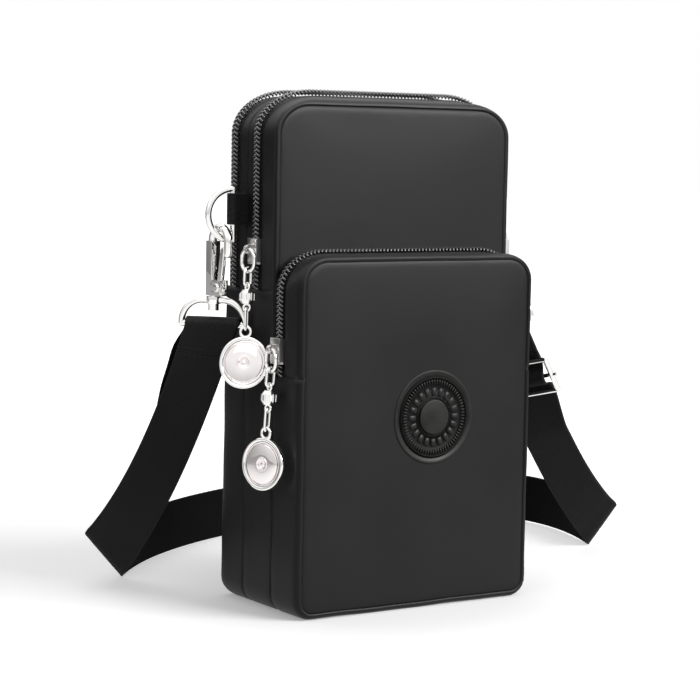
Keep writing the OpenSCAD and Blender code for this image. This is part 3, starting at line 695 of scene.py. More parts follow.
def plain_copy(name, source):
    """The evaluated shape of an object as a new plain mesh object. The source is removed."""
    bpy.context.view_layer.update()
    shape = source.evaluated_get(bpy.context.evaluated_depsgraph_get())
    mesh = bpy.data.meshes.new_from_object(shape)
    mesh.name = name
    bpy.data.objects.remove(source)
    return add_mesh(name, mesh)


def grown(name, mesh, tree, **values):
    """Runs a tree on a mesh with its inputs set by name, and keeps the result as plain mesh."""
    seed = add_object(name + "_seed", mesh)
    modifier = seed.modifiers.new("pieces", "NODES")
    modifier.node_group = tree
    for socket in tree.interface.items_tree:
        if socket.in_out == "INPUT" and socket.name in values:
            modifier[socket.identifier] = values[socket.name]
    return plain_copy(name, seed)


def join_meshes(name, things):
    """Joins plain mesh objects at the origin into one."""
    shape = bmesh.new()
    for thing in things:
        shape.from_mesh(thing.data)
        bpy.data.objects.remove(thing)
    mesh = bpy.data.meshes.new(name)
    shape.to_mesh(mesh)
    shape.free()
    return add_mesh(name, mesh)


# %% [markdown]
# For a zip the points lie on a line, resampled to the pitch. A loop's Z axis follows the line,
# and its X axis is turned outwards with the cross product of the line's direction and the
# depth of the pouch.
# %% A node tree that sets pieces along a line
def row_tree(name):
    tree, given, result = piece_tree(name, ("Pitch", "Float"))
    line = tree.nodes.new("GeometryNodeMeshToCurve")
    even = tree.nodes.new("GeometryNodeResampleCurve")
    even.mode = "LENGTH"
    tangent = tree.nodes.new("GeometryNodeInputTangent").outputs[0]
    outward = tree.nodes.new("ShaderNodeVectorMath")
    outward.operation = "CROSS_PRODUCT"
    outward.inputs[1].default_value = (0, 1, 0)
    tree.links.new(given.outputs["Geometry"], line.inputs["Mesh"])
    tree.links.new(line.outputs["Curve"], even.inputs["Curve"])
    tree.links.new(given.outputs["Pitch"], even.inputs["Length"])
    tree.links.new(tangent, outward.inputs[0])
    facing = aligned(tree, "X", outward.outputs[0], aligned(tree, "Z", tangent))
    return stand_on(tree, given, result, even.outputs["Curve"], facing)


ROW = row_tree("pieces_along_a_line")


def row_of(name, points, piece, pitch, finish):
    """A line of points with one piece at every pitch."""
    mesh = bpy.data.meshes.new(name + "_line")
    mesh.from_pydata([tuple(p) for p in points], [(i, i + 1) for i in range(len(points) - 1)], [])
    return grown(name, mesh, ROW, Piece=piece, Pitch=pitch, Finish=finish)


# %% Coils along the three zips
COIL_IN = {"pocket": 0.3 * MM, "main": -0.1 * MM, "rear": -0.1 * MM}
for which, (runs, whole, *_rest) in COMPARTMENTS.items():
    left = length_to(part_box(which + "_zip_coil")[0].z)
    middle, inwards = coil_y(which), COIL_IN[which]
    rows = []
    for side, offset in ((-1, COIL_PITCH / 2), (1, 0)):
        line = []
        for _, i, share in stations(runs, left + offset, whole - left, STEP / 2):
            (x, z), (ox, oz) = place(runs[i], share)
            line.append((x - inwards * ox, middle, z - inwards * oz))
        rows.append(row_of(f"{which}_row_{side}", line, loops[side], COIL_PITCH, COIL))
    coil = join_meshes(which + "_coil_loops", rows)
    finish_piece(coil, "pouch", COIL, "coil", which + "_zip_coil")
    print(which, "coil faces", len(coil.data.polygons))
for bead in loops.values():
    bpy.data.objects.remove(bead)

# %% [markdown]
# ## The padded faces
# Front and back are foam under coated nylon: flat across the middle, crowned a little, and
# drawn down at the seam. A grid whose rows follow the corners gives clean quads. A short cloth
# simulation with its rim held lets the cloth find its own crown. The cloth under the badge is
# held too, as the badge is stitched down on it.
# %% Grid of a rounded panel
NEAR_EDGE = (0, 0.35, 0.8, 1.4, 2.2, 3.4, 5.0, 7.0, 9.5, 12.5, 16.0, 20.0)
GRID = 4 * MM
CROWN, CROWN_REACH = 0.3 * MM, 9 * MM
RISE, RISE_REACH = 1.15 * MM, 0.9 * MM


def graded(low, high):
    """Places between two edges, close together near each and even between."""
    near = [n * MM for n in NEAR_EDGE]
    inner = (high - near[-1]) - (low + near[-1])
    steps = max(1, round(inner / GRID))
    middle = [low + near[-1] + inner * i / steps for i in range(1, steps)]
    return [low + n for n in near] + middle + [high - n for n in reversed(near)]


def straight_half(z, height, box):
    """Half of an outline's width at a height, without its corners."""
    corner, side, top, base, lean, _ = box
    low, high = base + foot_radius(box), height - top - corner
    return HALF_W - side - lean * clamped((z - low) / (high - low))


def edge_distance(x, z, height, box):
    """How far a point inside an outline lies from it."""
    corner, _, top, base, _, stretch = box
    upper = z > height / 2
    radius = corner if upper else foot_radius(box)
    across = radius * (stretch if upper else 1)
    gap_x = straight_half(z, height, box) - abs(x)
    gap_z = height - top - z if upper else z - base
    if gap_x < across and gap_z < radius:
        return max(0.0, radius * (1 - math.hypot(1 - gap_x / across, 1 - gap_z / radius)))
    return min(gap_x, gap_z)


def panel_half(z, height, box):
    """Half of an outline's width at a height."""
    corner, _, top, base, _, stretch = box
    foot = foot_radius(box)
    half = straight_half(z, height, box)
    corners = ((corner, corner * stretch, z - (height - top - corner)), (foot, foot, base + foot - z))
    for radius, across, rise in corners:
        if rise > 0:
            half -= across * (1 - math.sqrt(max(0.0, 1 - min(1.0, rise / radius) ** 2)))
    return half


def panel_skin(height, box, y_seam, out):
    """One skin of a face inside its seam. out is -1 for a front and 1 for a back."""
    _, side, top, base, *_rest = box
    rows = graded(base, height - top)
    shares = [x / (HALF_W - side) for x in graded(side - HALF_W, HALF_W - side)]
    points, faces, uvs = [], [], []
    for z in rows:
        span = panel_half(z, height, box)
        for share in shares:
            e = edge_distance(share * span, z, height, box)
            lift = CROWN * (1 - math.exp(-e / CROWN_REACH))
            lift += RISE * (1 - math.exp(-((e / RISE_REACH) ** 1.3)))
            points.append((share * span, y_seam + out * lift, z))
    n = len(shares)
    for i in range(len(rows) - 1):
        for j in range(n - 1):
            quad = (i * n + j, i * n + j + 1, (i + 1) * n + j + 1, (i + 1) * n + j)
            faces.append(quad)
            uvs.append([(points[q][0], points[q][2]) for q in quad])
    last = len(rows) - 1
    rim = list(range(n)) + [i * n + n - 1 for i in range(1, last + 1)]
    rim += [last * n + j for j in range(n - 2, -1, -1)] + [i * n for i in range(last - 1, 0, -1)]
    return points, faces, uvs, rim


PAD_OVER, PAD_SEAM, PAD_BACK = 0.15 * MM, 1.1 * MM, 2.3 * MM


def padded_face(name, height, box, y_face, out):
    """A closed pad: the crowned skin, a flat back behind it, and the rim between them."""
    points, faces, uvs, rim = panel_skin(height, deeper(box, -PAD_OVER), y_face - out * PAD_SEAM, out)
    y_back = y_face - out * PAD_BACK
    count = len(points)
    back = [(x, y_back, z) for x, _, z in points]
    back_faces = [tuple(count + q for q in reversed(face)) for face in faces]
    back_uvs = [list(reversed(uv)) for uv in uvs]
    sides, side_uvs = [], []
    for a, b in zip(rim, rim[1:] + rim[:1]):
        sides.append((a, b, count + b, count + a))
        side_uvs.append([(points[a][0], points[a][2])] * 4)
    return piece_from(name, points + back, faces + back_faces + sides, uvs + back_uvs + side_uvs), count, rim


# %% Short cloth simulation for a pad
def swell(piece, held, pressure, cap, frames=20):
    """Lets cloth swell under pressure with some points held, and caps how far a point moves."""
    start = np.array([v.co for v in piece.data.vertices])
    group = piece.vertex_groups.new(name="held")
    group.add(held, 1.0, "REPLACE")
    cloth = piece.modifiers.new("cloth", "CLOTH")
    facts = cloth.settings
    facts.quality, facts.mass = 5, 0.2
    facts.tension_stiffness = facts.compression_stiffness = 40
    facts.bending_stiffness = 2
    facts.vertex_group_mass = "held"
    facts.use_pressure, facts.uniform_pressure_force = True, pressure
    facts.effector_weights.gravity = 0
    cloth.point_cache.frame_start = 1
    cloth.point_cache.frame_end = frames
    scene.frame_start, scene.frame_end = 1, frames
    for f in range(1, frames + 1):
        scene.frame_set(f)
    shape = piece.evaluated_get(bpy.context.evaluated_depsgraph_get())
    moved = np.array([v.co for v in shape.data.vertices]) - start
    size = np.linalg.norm(moved, axis=1)
    moved *= np.minimum(1.0, cap / np.maximum(size, 1e-9))[:, None]
    piece.modifiers.remove(cloth)
    piece.vertex_groups.remove(piece.vertex_groups["held"])
    scene.frame_set(1)
    piece.data.vertices.foreach_set("co", (start + moved).astype(np.float32).ravel())
    piece.data.update()
    print(piece.name, "swelled by up to", round(size.max() / MM, 2), "mm, mean", round(size.mean() / MM, 2))
    return piece


# %% Front and back faces
PRESSURE, SWELL_CAP = 0.6, 0.6 * MM
FACES = (
    ("pocket", LOW, ROUND_LOW, LOW_H, LOW_SEAM, FRONT_Y, -1, "pocket_front_panel"),
    ("main", TALL, ROUND_TALL, TALL_H, TALL_SEAM, POCKET_Y, -1, "main_front_panel"),
    ("back", TALL, ROUND_TALL, TALL_H, BACK_SEAM, BACK_Y, 1, "back_panel"),
)
badge_low, badge_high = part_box("badge_ring")
badge_x, badge_z = (badge_low.x + badge_high.x) / 2, (badge_low.z + badge_high.z) / 2
badge_reach = (badge_high.x - badge_low.x) / 2 + 1 * MM


def under_badge(v):
    return v.co.y < POCKET_Y and math.hypot(v.co.x - badge_x, v.co.z - badge_z) < badge_reach


for label, _, _, height, box, y_face, out, node in FACES:
    pad, front_count, rim = padded_face(label + "_face_pad", height, box, y_face, out)
    held = rim + [v.index for v in pad.data.vertices if v.index >= front_count or under_badge(v)]
    swell(pad, held, PRESSURE, SWELL_CAP)
    finish_piece(pad, "pouch", NYLON, "shell", node)

# %% [markdown]
# ## Piping and linings
# A thin cord lies in the groove between a strip and its face, and shows as the dark seam
# line. The linings are thin bags inside; they don't show while the zips are shut.
# %% Piping in the seams
PIPE_R, PIPE_IN, PIPE_STEP = 0.5 * MM, 1.0 * MM, 1.5 * MM
pipes = []
for label, runs, whole, height, box, y_face, out, _ in FACES:
    cord = arc((y_face - out * PIPE_IN, 0.0), PIPE_R, 0, 315, 8)
    profile = [(y, round_box(height, deeper(box, e))) for y, e in cord]
    pipes.append(strip(label + "_pipe", runs, stations(runs, 0, whole, PIPE_STEP), profile))
finish_piece(join_meshes("seam_cord", pipes), "pouch", TAPE, "trim", "seam_piping")

# %% Linings and divider
LINING_FOLD, LINING_WAVE, LINING_STEP = 0.3 * MM, 6 * MM, 3 * MM
LINING_LEVELS = (0.0, 0.06, 0.2, 0.4, 0.6, 0.8, 0.94, 1.0)


def lining_bag(name, node, runs, whole, height, zipped):
    """A thin closed bag that hangs inside a compartment with soft folds."""
    low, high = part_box(node)
    outline = round_box(height, deeper(zipped, HALF_W - high.x))
    depths = [low.y + share * (high.y - low.y) for share in LINING_LEVELS]
    rings = []
    for share, y in zip(LINING_LEVELS, depths):
        ring = []
        for s, i, part in stations(runs, 0, whole, LINING_STEP)[:-1]:
            (x, z), (ox, oz) = matched(outline, runs, i, part)
            fold = LINING_FOLD * (1 + math.sin(s / LINING_WAVE + 4 * share)) * math.sin(math.pi * share)
            ring.append((x - fold * ox, y, z - fold * oz))
        rings.append(ring)
    return sweep(name, rings, depths)


for which, (runs, whole, height, zipped, *_rest) in COMPARTMENTS.items():
    bag = lining_bag(which + "_lining_cloth", which + "_lining", runs, whole, height, zipped)
    stands = [which + "_lining"] + (["rear_divider"] if which == "rear" else [])
    finish_piece(bag, "pouch", LINING, "lining", *stands)

# %% [markdown]
# ## The badge
# A round moulded patch in rubber: a flat flange round a sunk well, in it a ring of fine radial
# bars and a ring of plain raised blocks, and a smooth raised disc in the middle. Its rings
# are revolved profiles, written as shares of its radius. The well has a darker finish, since
# little light reaches into it. Bars and blocks repeat, so a node tree stands them round the
# centre.
# %% Badge base
BADGE_R = (badge_high.x - badge_low.x) / 2
BADGE_C = Vector((badge_x, badge_high.y, badge_z))
BADGE_TOP = (badge_high.y - badge_low.y) / MM
BADGE_FOOT = 0.5 * MM
TURNS = 96
AXIS_HOLE = 0.4 * MM


def ridge(outer, inner, foot, top):
    """A raised ring with soft shoulders, as shares of the radius and heights in mm."""
    soft, low = (outer - inner) * 0.22, top - 0.12
    outside = [(outer, foot), (outer - soft * 0.3, low), (outer - soft, top)]
    return outside + [(inner + soft, top), (inner + soft * 0.3, low), (inner, foot)]


BADGE_RINGS = {
    "badge_flange": [
        (0.97, -0.6), (1, 0), (1, 0.5), (0.988, 0.72), (0.97, 0.68), (0.9, 0.67), (0.885, 0.25), (0.8, 0.1),
    ],
    "badge_well": [
        (0.89, -0.3), (0.89, 0.28), *ridge(0.85, 0.825, 0.5, 0.95), *ridge(0.42, 0.4, 0.5, 0.7),
        (0.39, 0.3), (0, 0.3),
    ],
    "badge_middle": [(0.365, 0.25), (0.365, 1.2), (0.345, BADGE_TOP - 0.08), (0.32, BADGE_TOP), (0, BADGE_TOP)],
}
flange, well, middle_disc = (
    revolve(name, [(max(share * BADGE_R, AXIS_HOLE), h * MM) for share, h in profile], BADGE_C, TURNS)
    for name, profile in BADGE_RINGS.items()
)


# %% Bars and blocks round the badge
def ring_tree(name):
    """Stands pieces at even angles on a circle, with their X axis away from its centre."""
    tree, given, result = piece_tree(name, ("Count", "Int"), ("Radius", "Float"))
    circle = tree.nodes.new("GeometryNodeMeshCircle")
    tree.links.new(given.outputs["Count"], circle.inputs["Vertices"])
    tree.links.new(given.outputs["Radius"], circle.inputs["Radius"])
    facing = aligned(tree, "X", tree.nodes.new("GeometryNodeInputPosition").outputs[0])
    return stand_on(tree, given, result, circle.outputs[0], facing)


RING = ring_tree("pieces_round_a_centre")


def small_block(name, size, top_share):
    """A block with a narrower top, centred on the origin with its foot at zero."""
    x, y, z = size
    points = [(sx * x / 2, sy * y / 2, 0) for sx, sy in ((-1, -1), (1, -1), (1, 1), (-1, 1))]
    points += [(px * top_share, py * top_share, z) for px, py, _ in points[:4]]
    faces = [(3, 2, 1, 0), (4, 5, 6, 7)] + [(i, (i + 1) % 4, 4 + (i + 1) % 4, 4 + i) for i in range(4)]
    return piece_from(name, points, faces, smooth=False)


def ring_of(name, count, at, long, wide, high, top_share):
    """A ring of blocks; their place and length are shares of the badge's radius."""
    block = small_block(name + "_block", (BADGE_R * long, wide, high), top_share)
    seed = bpy.data.meshes.new(name + "_seed")
    ring = grown(name, seed, RING, Piece=block, Count=count, Radius=BADGE_R * at, Finish=RUBBER)
    bpy.data.objects.remove(block)
    upright = Matrix.Translation(BADGE_C - Vector((0, BADGE_FOOT, 0))) @ Matrix.Rotation(math.pi / 2, 4, "X")
    ring.data.transform(upright)
    return ring


bars = ring_of("badge_bars", 72, 0.75, 0.11, 0.52 * MM, 0.5 * MM, 0.8)
blocks = ring_of("badge_blocks", 20, 0.545, 0.18, 1.9 * MM, 0.42 * MM, 0.82)
badge = join_meshes("badge_patch", [flange, middle_disc, bars, blocks])
finish_piece(badge, "pouch", RUBBER, "badge", "badge_ring", "badge_centre")
finish_piece(well, "pouch", DARK_RUBBER, "badge")
print("badge radius", round(BADGE_R / MM, 2), "mm")

# %% [markdown]
# ## Webbing
# The strap is one long flat band: down from the left swivel eye, creased where it meets the
# floor, round behind the pouch on its edge, and up again through the adjuster to the right
# eye. It isn't simulated, because a band this stiff keeps the route it is laid in. The route
# is worked out as pairs of edge points, smoothed, and given a thick woven cross-section. Its
# sewn tail lies a little askew on the left, as hand-fed webbing does.
# %% Strap sizes
WEB_W = 20 * MM
WEB_T = 1.3 * MM
EYE_WIRE = 1.2 * MM
LAYER_GAP = 0.15 * MM
EYE_TURN = math.radians(-49)
EYE_DIR = np.array([math.cos(EYE_TURN), math.sin(EYE_TURN), 0])
LOOP_R = EYE_WIRE + WEB_T / 2 + 0.12 * MM
LEG_STEPS = 14
FLOOR_STEPS = 26
TAIL_STEPS = 4
TAIL_ASKEW = 2.6 * MM
SAG = 9 * MM
FLOOR_Z = 0.6 * MM
UP = np.array([0, 0, 1.0])
half_band = WEB_W / 2 * EYE_DIR


def eye_bar(side):
    """Middle of the lower bar of a swivel eye."""
    low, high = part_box(side + "_eye")
    return np.array([(low.x + high.x) / 2, (low.y + high.y) / 2, low.z + EYE_WIRE])


def laid(side, out, behind, z=FLOOR_Z):
    """A place on the floor from the pouch's side and back, in mm."""
    return np.array([side * HALF_W + out * MM, BACK_Y + behind * MM, z])


left_eye_bar, right_eye_bar = eye_bar("left"), eye_bar("right")
LEFT_LOW, LEFT_TOP = laid(-1, -16, 45), laid(-1, -37, 34, WEB_W + FLOOR_Z)
RIGHT_LOW, RIGHT_TOP = laid(1, 85, 14.5), laid(1, 83, -5.5, WEB_W + FLOOR_Z)
LEFT_PULL, RIGHT_PULL = laid(-1, 55, 138), laid(1, 148, 153)


# %% The strap's route as pairs of edge points
def hanging(p, q, t):
    return p * (1 - t) + q * t - SAG * 4 * t * (1 - t) * UP


def leg(a0, b0, a1, b1, side):
    """A hanging stretch from an eye to the floor: edge points and the direction of its face."""
    found = []
    for i in range(LEG_STEPS + 1):
        t, e = i / LEG_STEPS, 0.01
        a, b = hanging(a0, a1, t), hanging(b0, b1, t)
        before, after = (hanging((a0 + b0) / 2, (a1 + b1) / 2, t + d) for d in (-e, e))
        found.append((a, b, side * unit(np.cross(b - a, after - before))))
    return found


def moved(section, d):
    a, b, n = section
    return (a + n * d, b + n * d, n)


def turned(centre, half, start, over, steps=10):
    """Half a turn of the band round a bar."""
    found = []
    for a in np.linspace(0, math.pi, steps):
        out = start * math.cos(a) + over * math.sin(a)
        found.append((centre - half + out * LOOP_R, centre + half + out * LOOP_R, -out))
    return found


def ease(i):
    """How far a stretch still stands off its own straight line beside the eye."""
    return LOOP_R * (1 - i / LEG_STEPS) ** 2


left_leg = leg(left_eye_bar - half_band, left_eye_bar + half_band, LEFT_TOP, LEFT_LOW, 1)
left_n = left_leg[0][2]
left_down = [moved(left_leg[i], -ease(i)) for i in range(1, LEG_STEPS)]
left_tail = []
for i in range(TAIL_STEPS, 0, -1):
    near = 1 - i / TAIL_STEPS
    a, b, n = moved(left_leg[i], -ease(i) + WEB_T + LAYER_GAP + LOOP_R * near ** 2)
    askew = TAIL_ASKEW * math.sqrt(near) * EYE_DIR
    left_tail.append((a - askew, b - askew, -n))
left_turn = turned(left_eye_bar, half_band, -left_n, np.cross(EYE_DIR, left_n))

right_leg = leg(right_eye_bar + half_band, right_eye_bar - half_band, RIGHT_TOP, RIGHT_LOW, -1)
right_n = right_leg[0][2]
right_turn = turned(right_eye_bar, -half_band, -right_n, -np.cross(EYE_DIR, right_n))

# %% Through the adjuster
ADJ_WIRE = 1.1 * MM
ADJ_BAR = 0.9 * MM
ADJ_HALF = 7.5 * MM
ADJ_AT = 3
adj_a, adj_b, adj_n = right_leg[ADJ_AT]
adj_x = unit(adj_a - adj_b)
adj_y = np.cross(adj_n, adj_x)
under = ADJ_WIRE + WEB_T / 2 + LAYER_GAP
over = -(ADJ_BAR + WEB_T * 1.5 + 2 * LAYER_GAP)


def at_adjuster(y, d):
    c = (adj_a + adj_b) / 2 - adj_y * y + adj_n * d
    return (c + adj_x * WEB_W / 2, c - adj_x * WEB_W / 2, adj_n)


# under the near end of the frame, over its middle bar and under its far end
half_way = ((ADJ_HALF + 3 * MM, under), (ADJ_HALF - 2 * MM, under), (1.4 * MM, over))
through = [at_adjuster(y, d) for y, d in half_way] + [at_adjuster(-y, d) for y, d in reversed(half_way)]
right_down = [moved(right_leg[i], -ease(i)) for i in range(1, ADJ_AT - 2)] + through
right_down += right_leg[ADJ_AT + 3:LEG_STEPS]


# %% The run on the floor
def floor_point(t):
    s = 1 - t
    return LEFT_LOW * s**3 + LEFT_PULL * 3 * t * s * s + RIGHT_PULL * 3 * t * t * s + RIGHT_LOW * t**3


floor_run = []
for i in range(1, FLOOR_STEPS):
    t = i / FLOOR_STEPS
    p, ahead = floor_point(t), floor_point(t + 0.01) - floor_point(t - 0.01)
    floor_run.append((p + WEB_W * UP, p, unit(np.cross(-UP, ahead))))


def crease(top, low, eye, pull):
    return [(top, low, unit(unit(eye - low) + unit(pull - low)))]


route = (
    left_tail + left_turn[::-1] + left_down + crease(LEFT_TOP, LEFT_LOW, left_eye_bar, LEFT_PULL) + floor_run
    + crease(RIGHT_TOP, RIGHT_LOW, right_eye_bar, RIGHT_PULL) + right_down[::-1] + right_turn
)


# %% Smooth route and woven cross-section
def smooth_between(values, i, t):
    """A curve through the values, which keeps close to them at sharp turns."""
    p0, p1, p2, p3 = (values[max(0, min(len(values) - 1, i + d))] for d in (-1, 0, 1, 2))
    gap = np.linalg.norm(p2 - p1)
    m1, m2 = (span * min(0.5, gap / max(np.linalg.norm(span), 1e-9)) for span in (p2 - p0, p3 - p1))
    rise = 3 * t**2 - 2 * t**3
    return p1 * (1 - rise) + m1 * (t**3 - 2 * t**2 + t) + p2 * rise + m2 * (t**3 - t**2)


def fine_route(sections, spacing):
    """Sections about as far apart as the spacing, from a route with uneven steps."""
    a, b, n = ([s[i] for s in sections] for i in range(3))
    found = []
    for i in range(len(sections) - 1):
        gap = np.linalg.norm((a[i + 1] + b[i + 1] - a[i] - b[i]) / 2)
        count = max(1, round(gap / spacing))
        for j in range(count):
            t = j / count
            facing = unit(n[i] * (1 - t) + n[i + 1] * t)
            found.append((smooth_between(a, i, t), smooth_between(b, i, t), facing))
    return found + [sections[-1]]


ACROSS = [-1, -0.985, -0.95, -0.88, -0.5, 0, 0.5, 0.88, 0.95, 0.985, 1]
EDGE_T = [0.18, 0.42, 0.5, 0.46, 0.5, 0.5, 0.5, 0.46, 0.5, 0.42, 0.18]


def band_section(section, thick):
    a, b, n = section
    c, h = (a + b) / 2, (b - a) / 2
    upper = [c + h * u + n * thick * t for u, t in zip(ACROSS, EDGE_T)]
    lower = [c + h * u - n * thick * t for u, t in zip(ACROSS, EDGE_T)]
    return upper + lower[::-1]


def band(name, sections, thick):
    """A woven band with slightly thicker edges, mapped in real lengths."""
    centres = [(a + b) / 2 for a, b, _ in sections]
    steps = [np.linalg.norm(q - p) for p, q in zip(centres, centres[1:])]
    lengths = list(np.concatenate([[0], np.cumsum(steps)]))
    a, b, _ = sections[len(sections) // 2]
    upper = [u * np.linalg.norm(b - a) / 2 for u in ACROSS]
    across = upper + upper[::-1] + [upper[0]]
    return sweep(name, [band_section(s, thick) for s in sections], lengths, across=across), lengths[-1]


strap_fine = fine_route(route, 2.5 * MM)
strap, strap_length = band("strap_band", strap_fine, WEB_T)
finish_piece(strap, "strap", WEBBING, "webbing", "strap_webbing")

# one face of the webbing has a darker copy of its finish, painted shade for the side in shadow
strap.data.materials.append(WEBBING_PAINTED_SHADE)
for poly in strap.data.polygons:
    place_round = min(poly.vertices) % (2 * len(ACROSS))
    poly.material_index = int(place_round < len(ACROSS) - 1)
print("strap length", round(strap_length / MM), "mm, sections", len(strap_fine))

# %% Stitches across the ends of the strap
STITCH_PITCH = 1.9 * MM
STITCH_ROWS = (-2.6 * MM, 0)
stitch = bent_bead("strap_stitch", [(0, 0, z * MM) for z in (-0.75, -0.45, 0.45, 0.75)], 0.2 * MM)
rows = []
for where, (a, b, n) in (("left", left_down[0]), ("right", right_down[0])):
    ahead = unit(np.cross(b - a, n))
    for i, down in enumerate(STITCH_ROWS):
        c = (a + b) / 2 - n * WEB_T * 0.52 + ahead * down
        h = (b - a) * 0.46
        rows.append(row_of(f"{where}_stitches_{i}", [c - h, c + h], stitch, STITCH_PITCH, THREAD))
bpy.data.objects.remove(stitch)
finish_piece(join_meshes("strap_stitches", rows), "strap", THREAD, "webbing", "strap_webbing")

# %% [markdown]
# The side tabs are short loops of the same webbing. Each comes out of the seam between the
# two tall compartments, goes round the straight bar of its ring and back into the seam.
# %% Side tabs
TAB_BEND = 14
TAB_BAR = (55 * MM, 10.5 * MM)
TAB_ROOT = (HALF_W - 0.6 * MM, 9 * MM)
TAB_WRAP = 1.75 * MM
TAB_T = 1.0 * MM


def side_tab(name, side):
    low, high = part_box("side_tabs")
    bar, root = (np.array([side * x, y]) for x, y in (TAB_BAR, TAB_ROOT))
    away = unit(bar - root)
    left = np.array([-away[1], away[0]])
    angles = np.linspace(0, math.pi, TAB_BEND)
    bend = [bar + TAB_WRAP * (math.cos(a) * left + math.sin(a) * away) for a in angles]
    leaving = [root + left * 0.6 * MM, (root + bar) / 2 + left * 1.0 * MM]
    coming = [(root + bar) / 2 - left * 1.0 * MM, root - left * 0.6 * MM]
    path = leaving + bend + coming
    sections = []
    for i, (x, y) in enumerate(path):
        ahead = path[min(i + 1, len(path) - 1)] - path[max(i - 1, 0)]
        n = unit(np.array([ahead[1], -ahead[0], 0]))
        sections.append((np.array([x, y, low.z]), np.array([x, y, high.z]), n))
    return band(name, fine_route(sections, 0.9 * MM), TAB_T)[0]


tabs = join_meshes("side_tab_loops", [side_tab("left_tab", -1), side_tab("right_tab", 1)])
finish_piece(tabs, "pouch", WEBBING, "webbing", "side_tabs")
print("side tab faces", len(tabs.data.polygons))

# %% [markdown]
# ## Hardware
# The metal pieces have the right shape already. What a real casting has and a drawn solid
# lacks is a small radius on every edge, which is where plated metal catches the light. So
# each cast piece is a merged copy of its solid with a bevel on its sharp edges. Round wire
# needs no such edge, so rings, links and the adjuster keep their own solid and only get the
# plating.
# %% Softened copies of the metal solids
MERGE_DIST = 0.002 * MM
EDGE_ANGLE, SHARP_ANGLE = math.radians(35), math.radians(40)


def dressed(node, body, material, slot, width):
    """A copy of a solid with its loose triangles merged and its sharp edges rounded."""
    shape = bmesh.new()
    shape.from_mesh(nodes[node].data)
    bmesh.ops.remove_doubles(shape, verts=shape.verts, dist=MERGE_DIST)
    bmesh.ops.dissolve_limit(
        shape, angle_limit=math.radians(1.0), use_dissolve_boundaries=False, verts=shape.verts, edges=shape.edges
    )
    mesh = bpy.data.meshes.new(node + "_plated")
    shape.to_mesh(mesh)
    shape.free()
    piece = add_mesh(node + "_plated", mesh)
    edges = piece.modifiers.new("edges", "BEVEL")
    edges.width, edges.segments = width, 3
    edges.limit_method, edges.angle_limit = "ANGLE", EDGE_ANGLE
    edges.use_clamp_overlap = True
    edges.miter_outer = "MITER_ARC"
    piece = plain_copy(node + "_plated", piece)
    piece.data.set_sharp_from_angle(angle=SHARP_ANGLE)
    return finish_piece(piece, body, material, slot, node)


body_of = {n: b for b, members in frame["record"]["behaviour"]["bodies"].items() for n in members}
BEVELS = {"hook": 0.7 * MM, "gate": 0.3 * MM, "rivet": 0.2 * MM, "slider": 0.35 * MM, "eye": 0.25 * MM}
for kind, width in BEVELS.items():
    cast = kind == "slider"
    for where in ("main", "pocket", "rear") if cast else ("left", "right"):
        node = f"{where}_{kind}"
        dressed(node, body_of[node], CAST if cast else NICKEL, "nickel", width)
wires = ["left_d_ring", "right_d_ring", "adjuster_frame", "adjuster_bar", "rear_pull"]
wires += [f"{zipper}_{kind}" for zipper in ("main", "pocket") for kind in ("pull", "link", "bead", "drop")]
for node in wires:
    nodes[node].data.materials.clear()
    nodes[node].data.materials.append(NICKEL)
print("plated pieces with softened edges", 2 * len(BEVELS) + 1, "and of wire", len(wires))


# %% [markdown]
# A charm is a turned and pressed disc: a rolled rim, and in it a satin cap with a groove, a
# raised ring and a knob in its middle. Each is one revolved profile, set on the axis that is
# measured on the disc's solid, with a ring of wire as its eyelet.
# %% Charm discs
CHARM_RIM = [
    (0.5, 0), (8.6, 0), (9.05, 0.3), (9.2, 0.75), (9.2, 1.9), (9.08, 2.35), (8.8, 2.57), (8.5, 2.6), (8.1, 2.52),
    (7.85, 2.3), (7.75, 2.0), (7.7, 1.6), (0.5, 1.6),
]
CHARM_CAP = [
    (0.5, 1.62), (7.66, 1.62), (7.66, 2.3), (7.5, 2.42), (7.3, 2.38), (7.22, 1.75), (6.92, 1.75), (6.88, 2.42),
    (6.75, 2.58), (6.6, 2.62), (2.55, 2.62), (2.5, 2.8), (2.35, 2.88), (2.15, 2.88), (1.98, 2.8), (1.8, 2.5),
    (1.72, 1.7), (1.1, 1.66), (0.95, 2.1), (0.7, 2.3), (0.3, 2.36),
]
EYELET_UP, EYELET_IN = 10.8 * MM, 1.3 * MM
EYELET_R, EYELET_WIRE = 1.9 * MM, 0.6 * MM
EYELET_STEPS = 48


def disc_axes(piece):
    """Points, middle and axes of a flat round solid, its normal first, towards the front left."""
    points = np.array([piece.matrix_world @ v.co for v in piece.data.vertices])
    _, _, rows = np.linalg.svd(points - points.mean(axis=0), full_matrices=False)
    normal = rows[2] * (1 if rows[2] @ np.array((-1, -1, 0)) > 0 else -1)
    u = unit(np.cross(normal, (0, 0, 1)))
    axes = (normal, u, np.cross(u, normal))
    spans = [points @ axis for axis in axes]
    middle = sum(axis * (span.min() + span.max()) / 2 for axis, span in zip(axes, spans))
    return points, middle, axes


def turned_disc(name, profile, centre, axes):
    """A sharp-stepped revolved piece from a profile in mm."""
    piece = revolve(name, [(r * MM, h * MM) for r, h in profile], centre, TURNS, axes)
    piece.data.set_sharp_from_angle(angle=math.radians(25))
    return piece


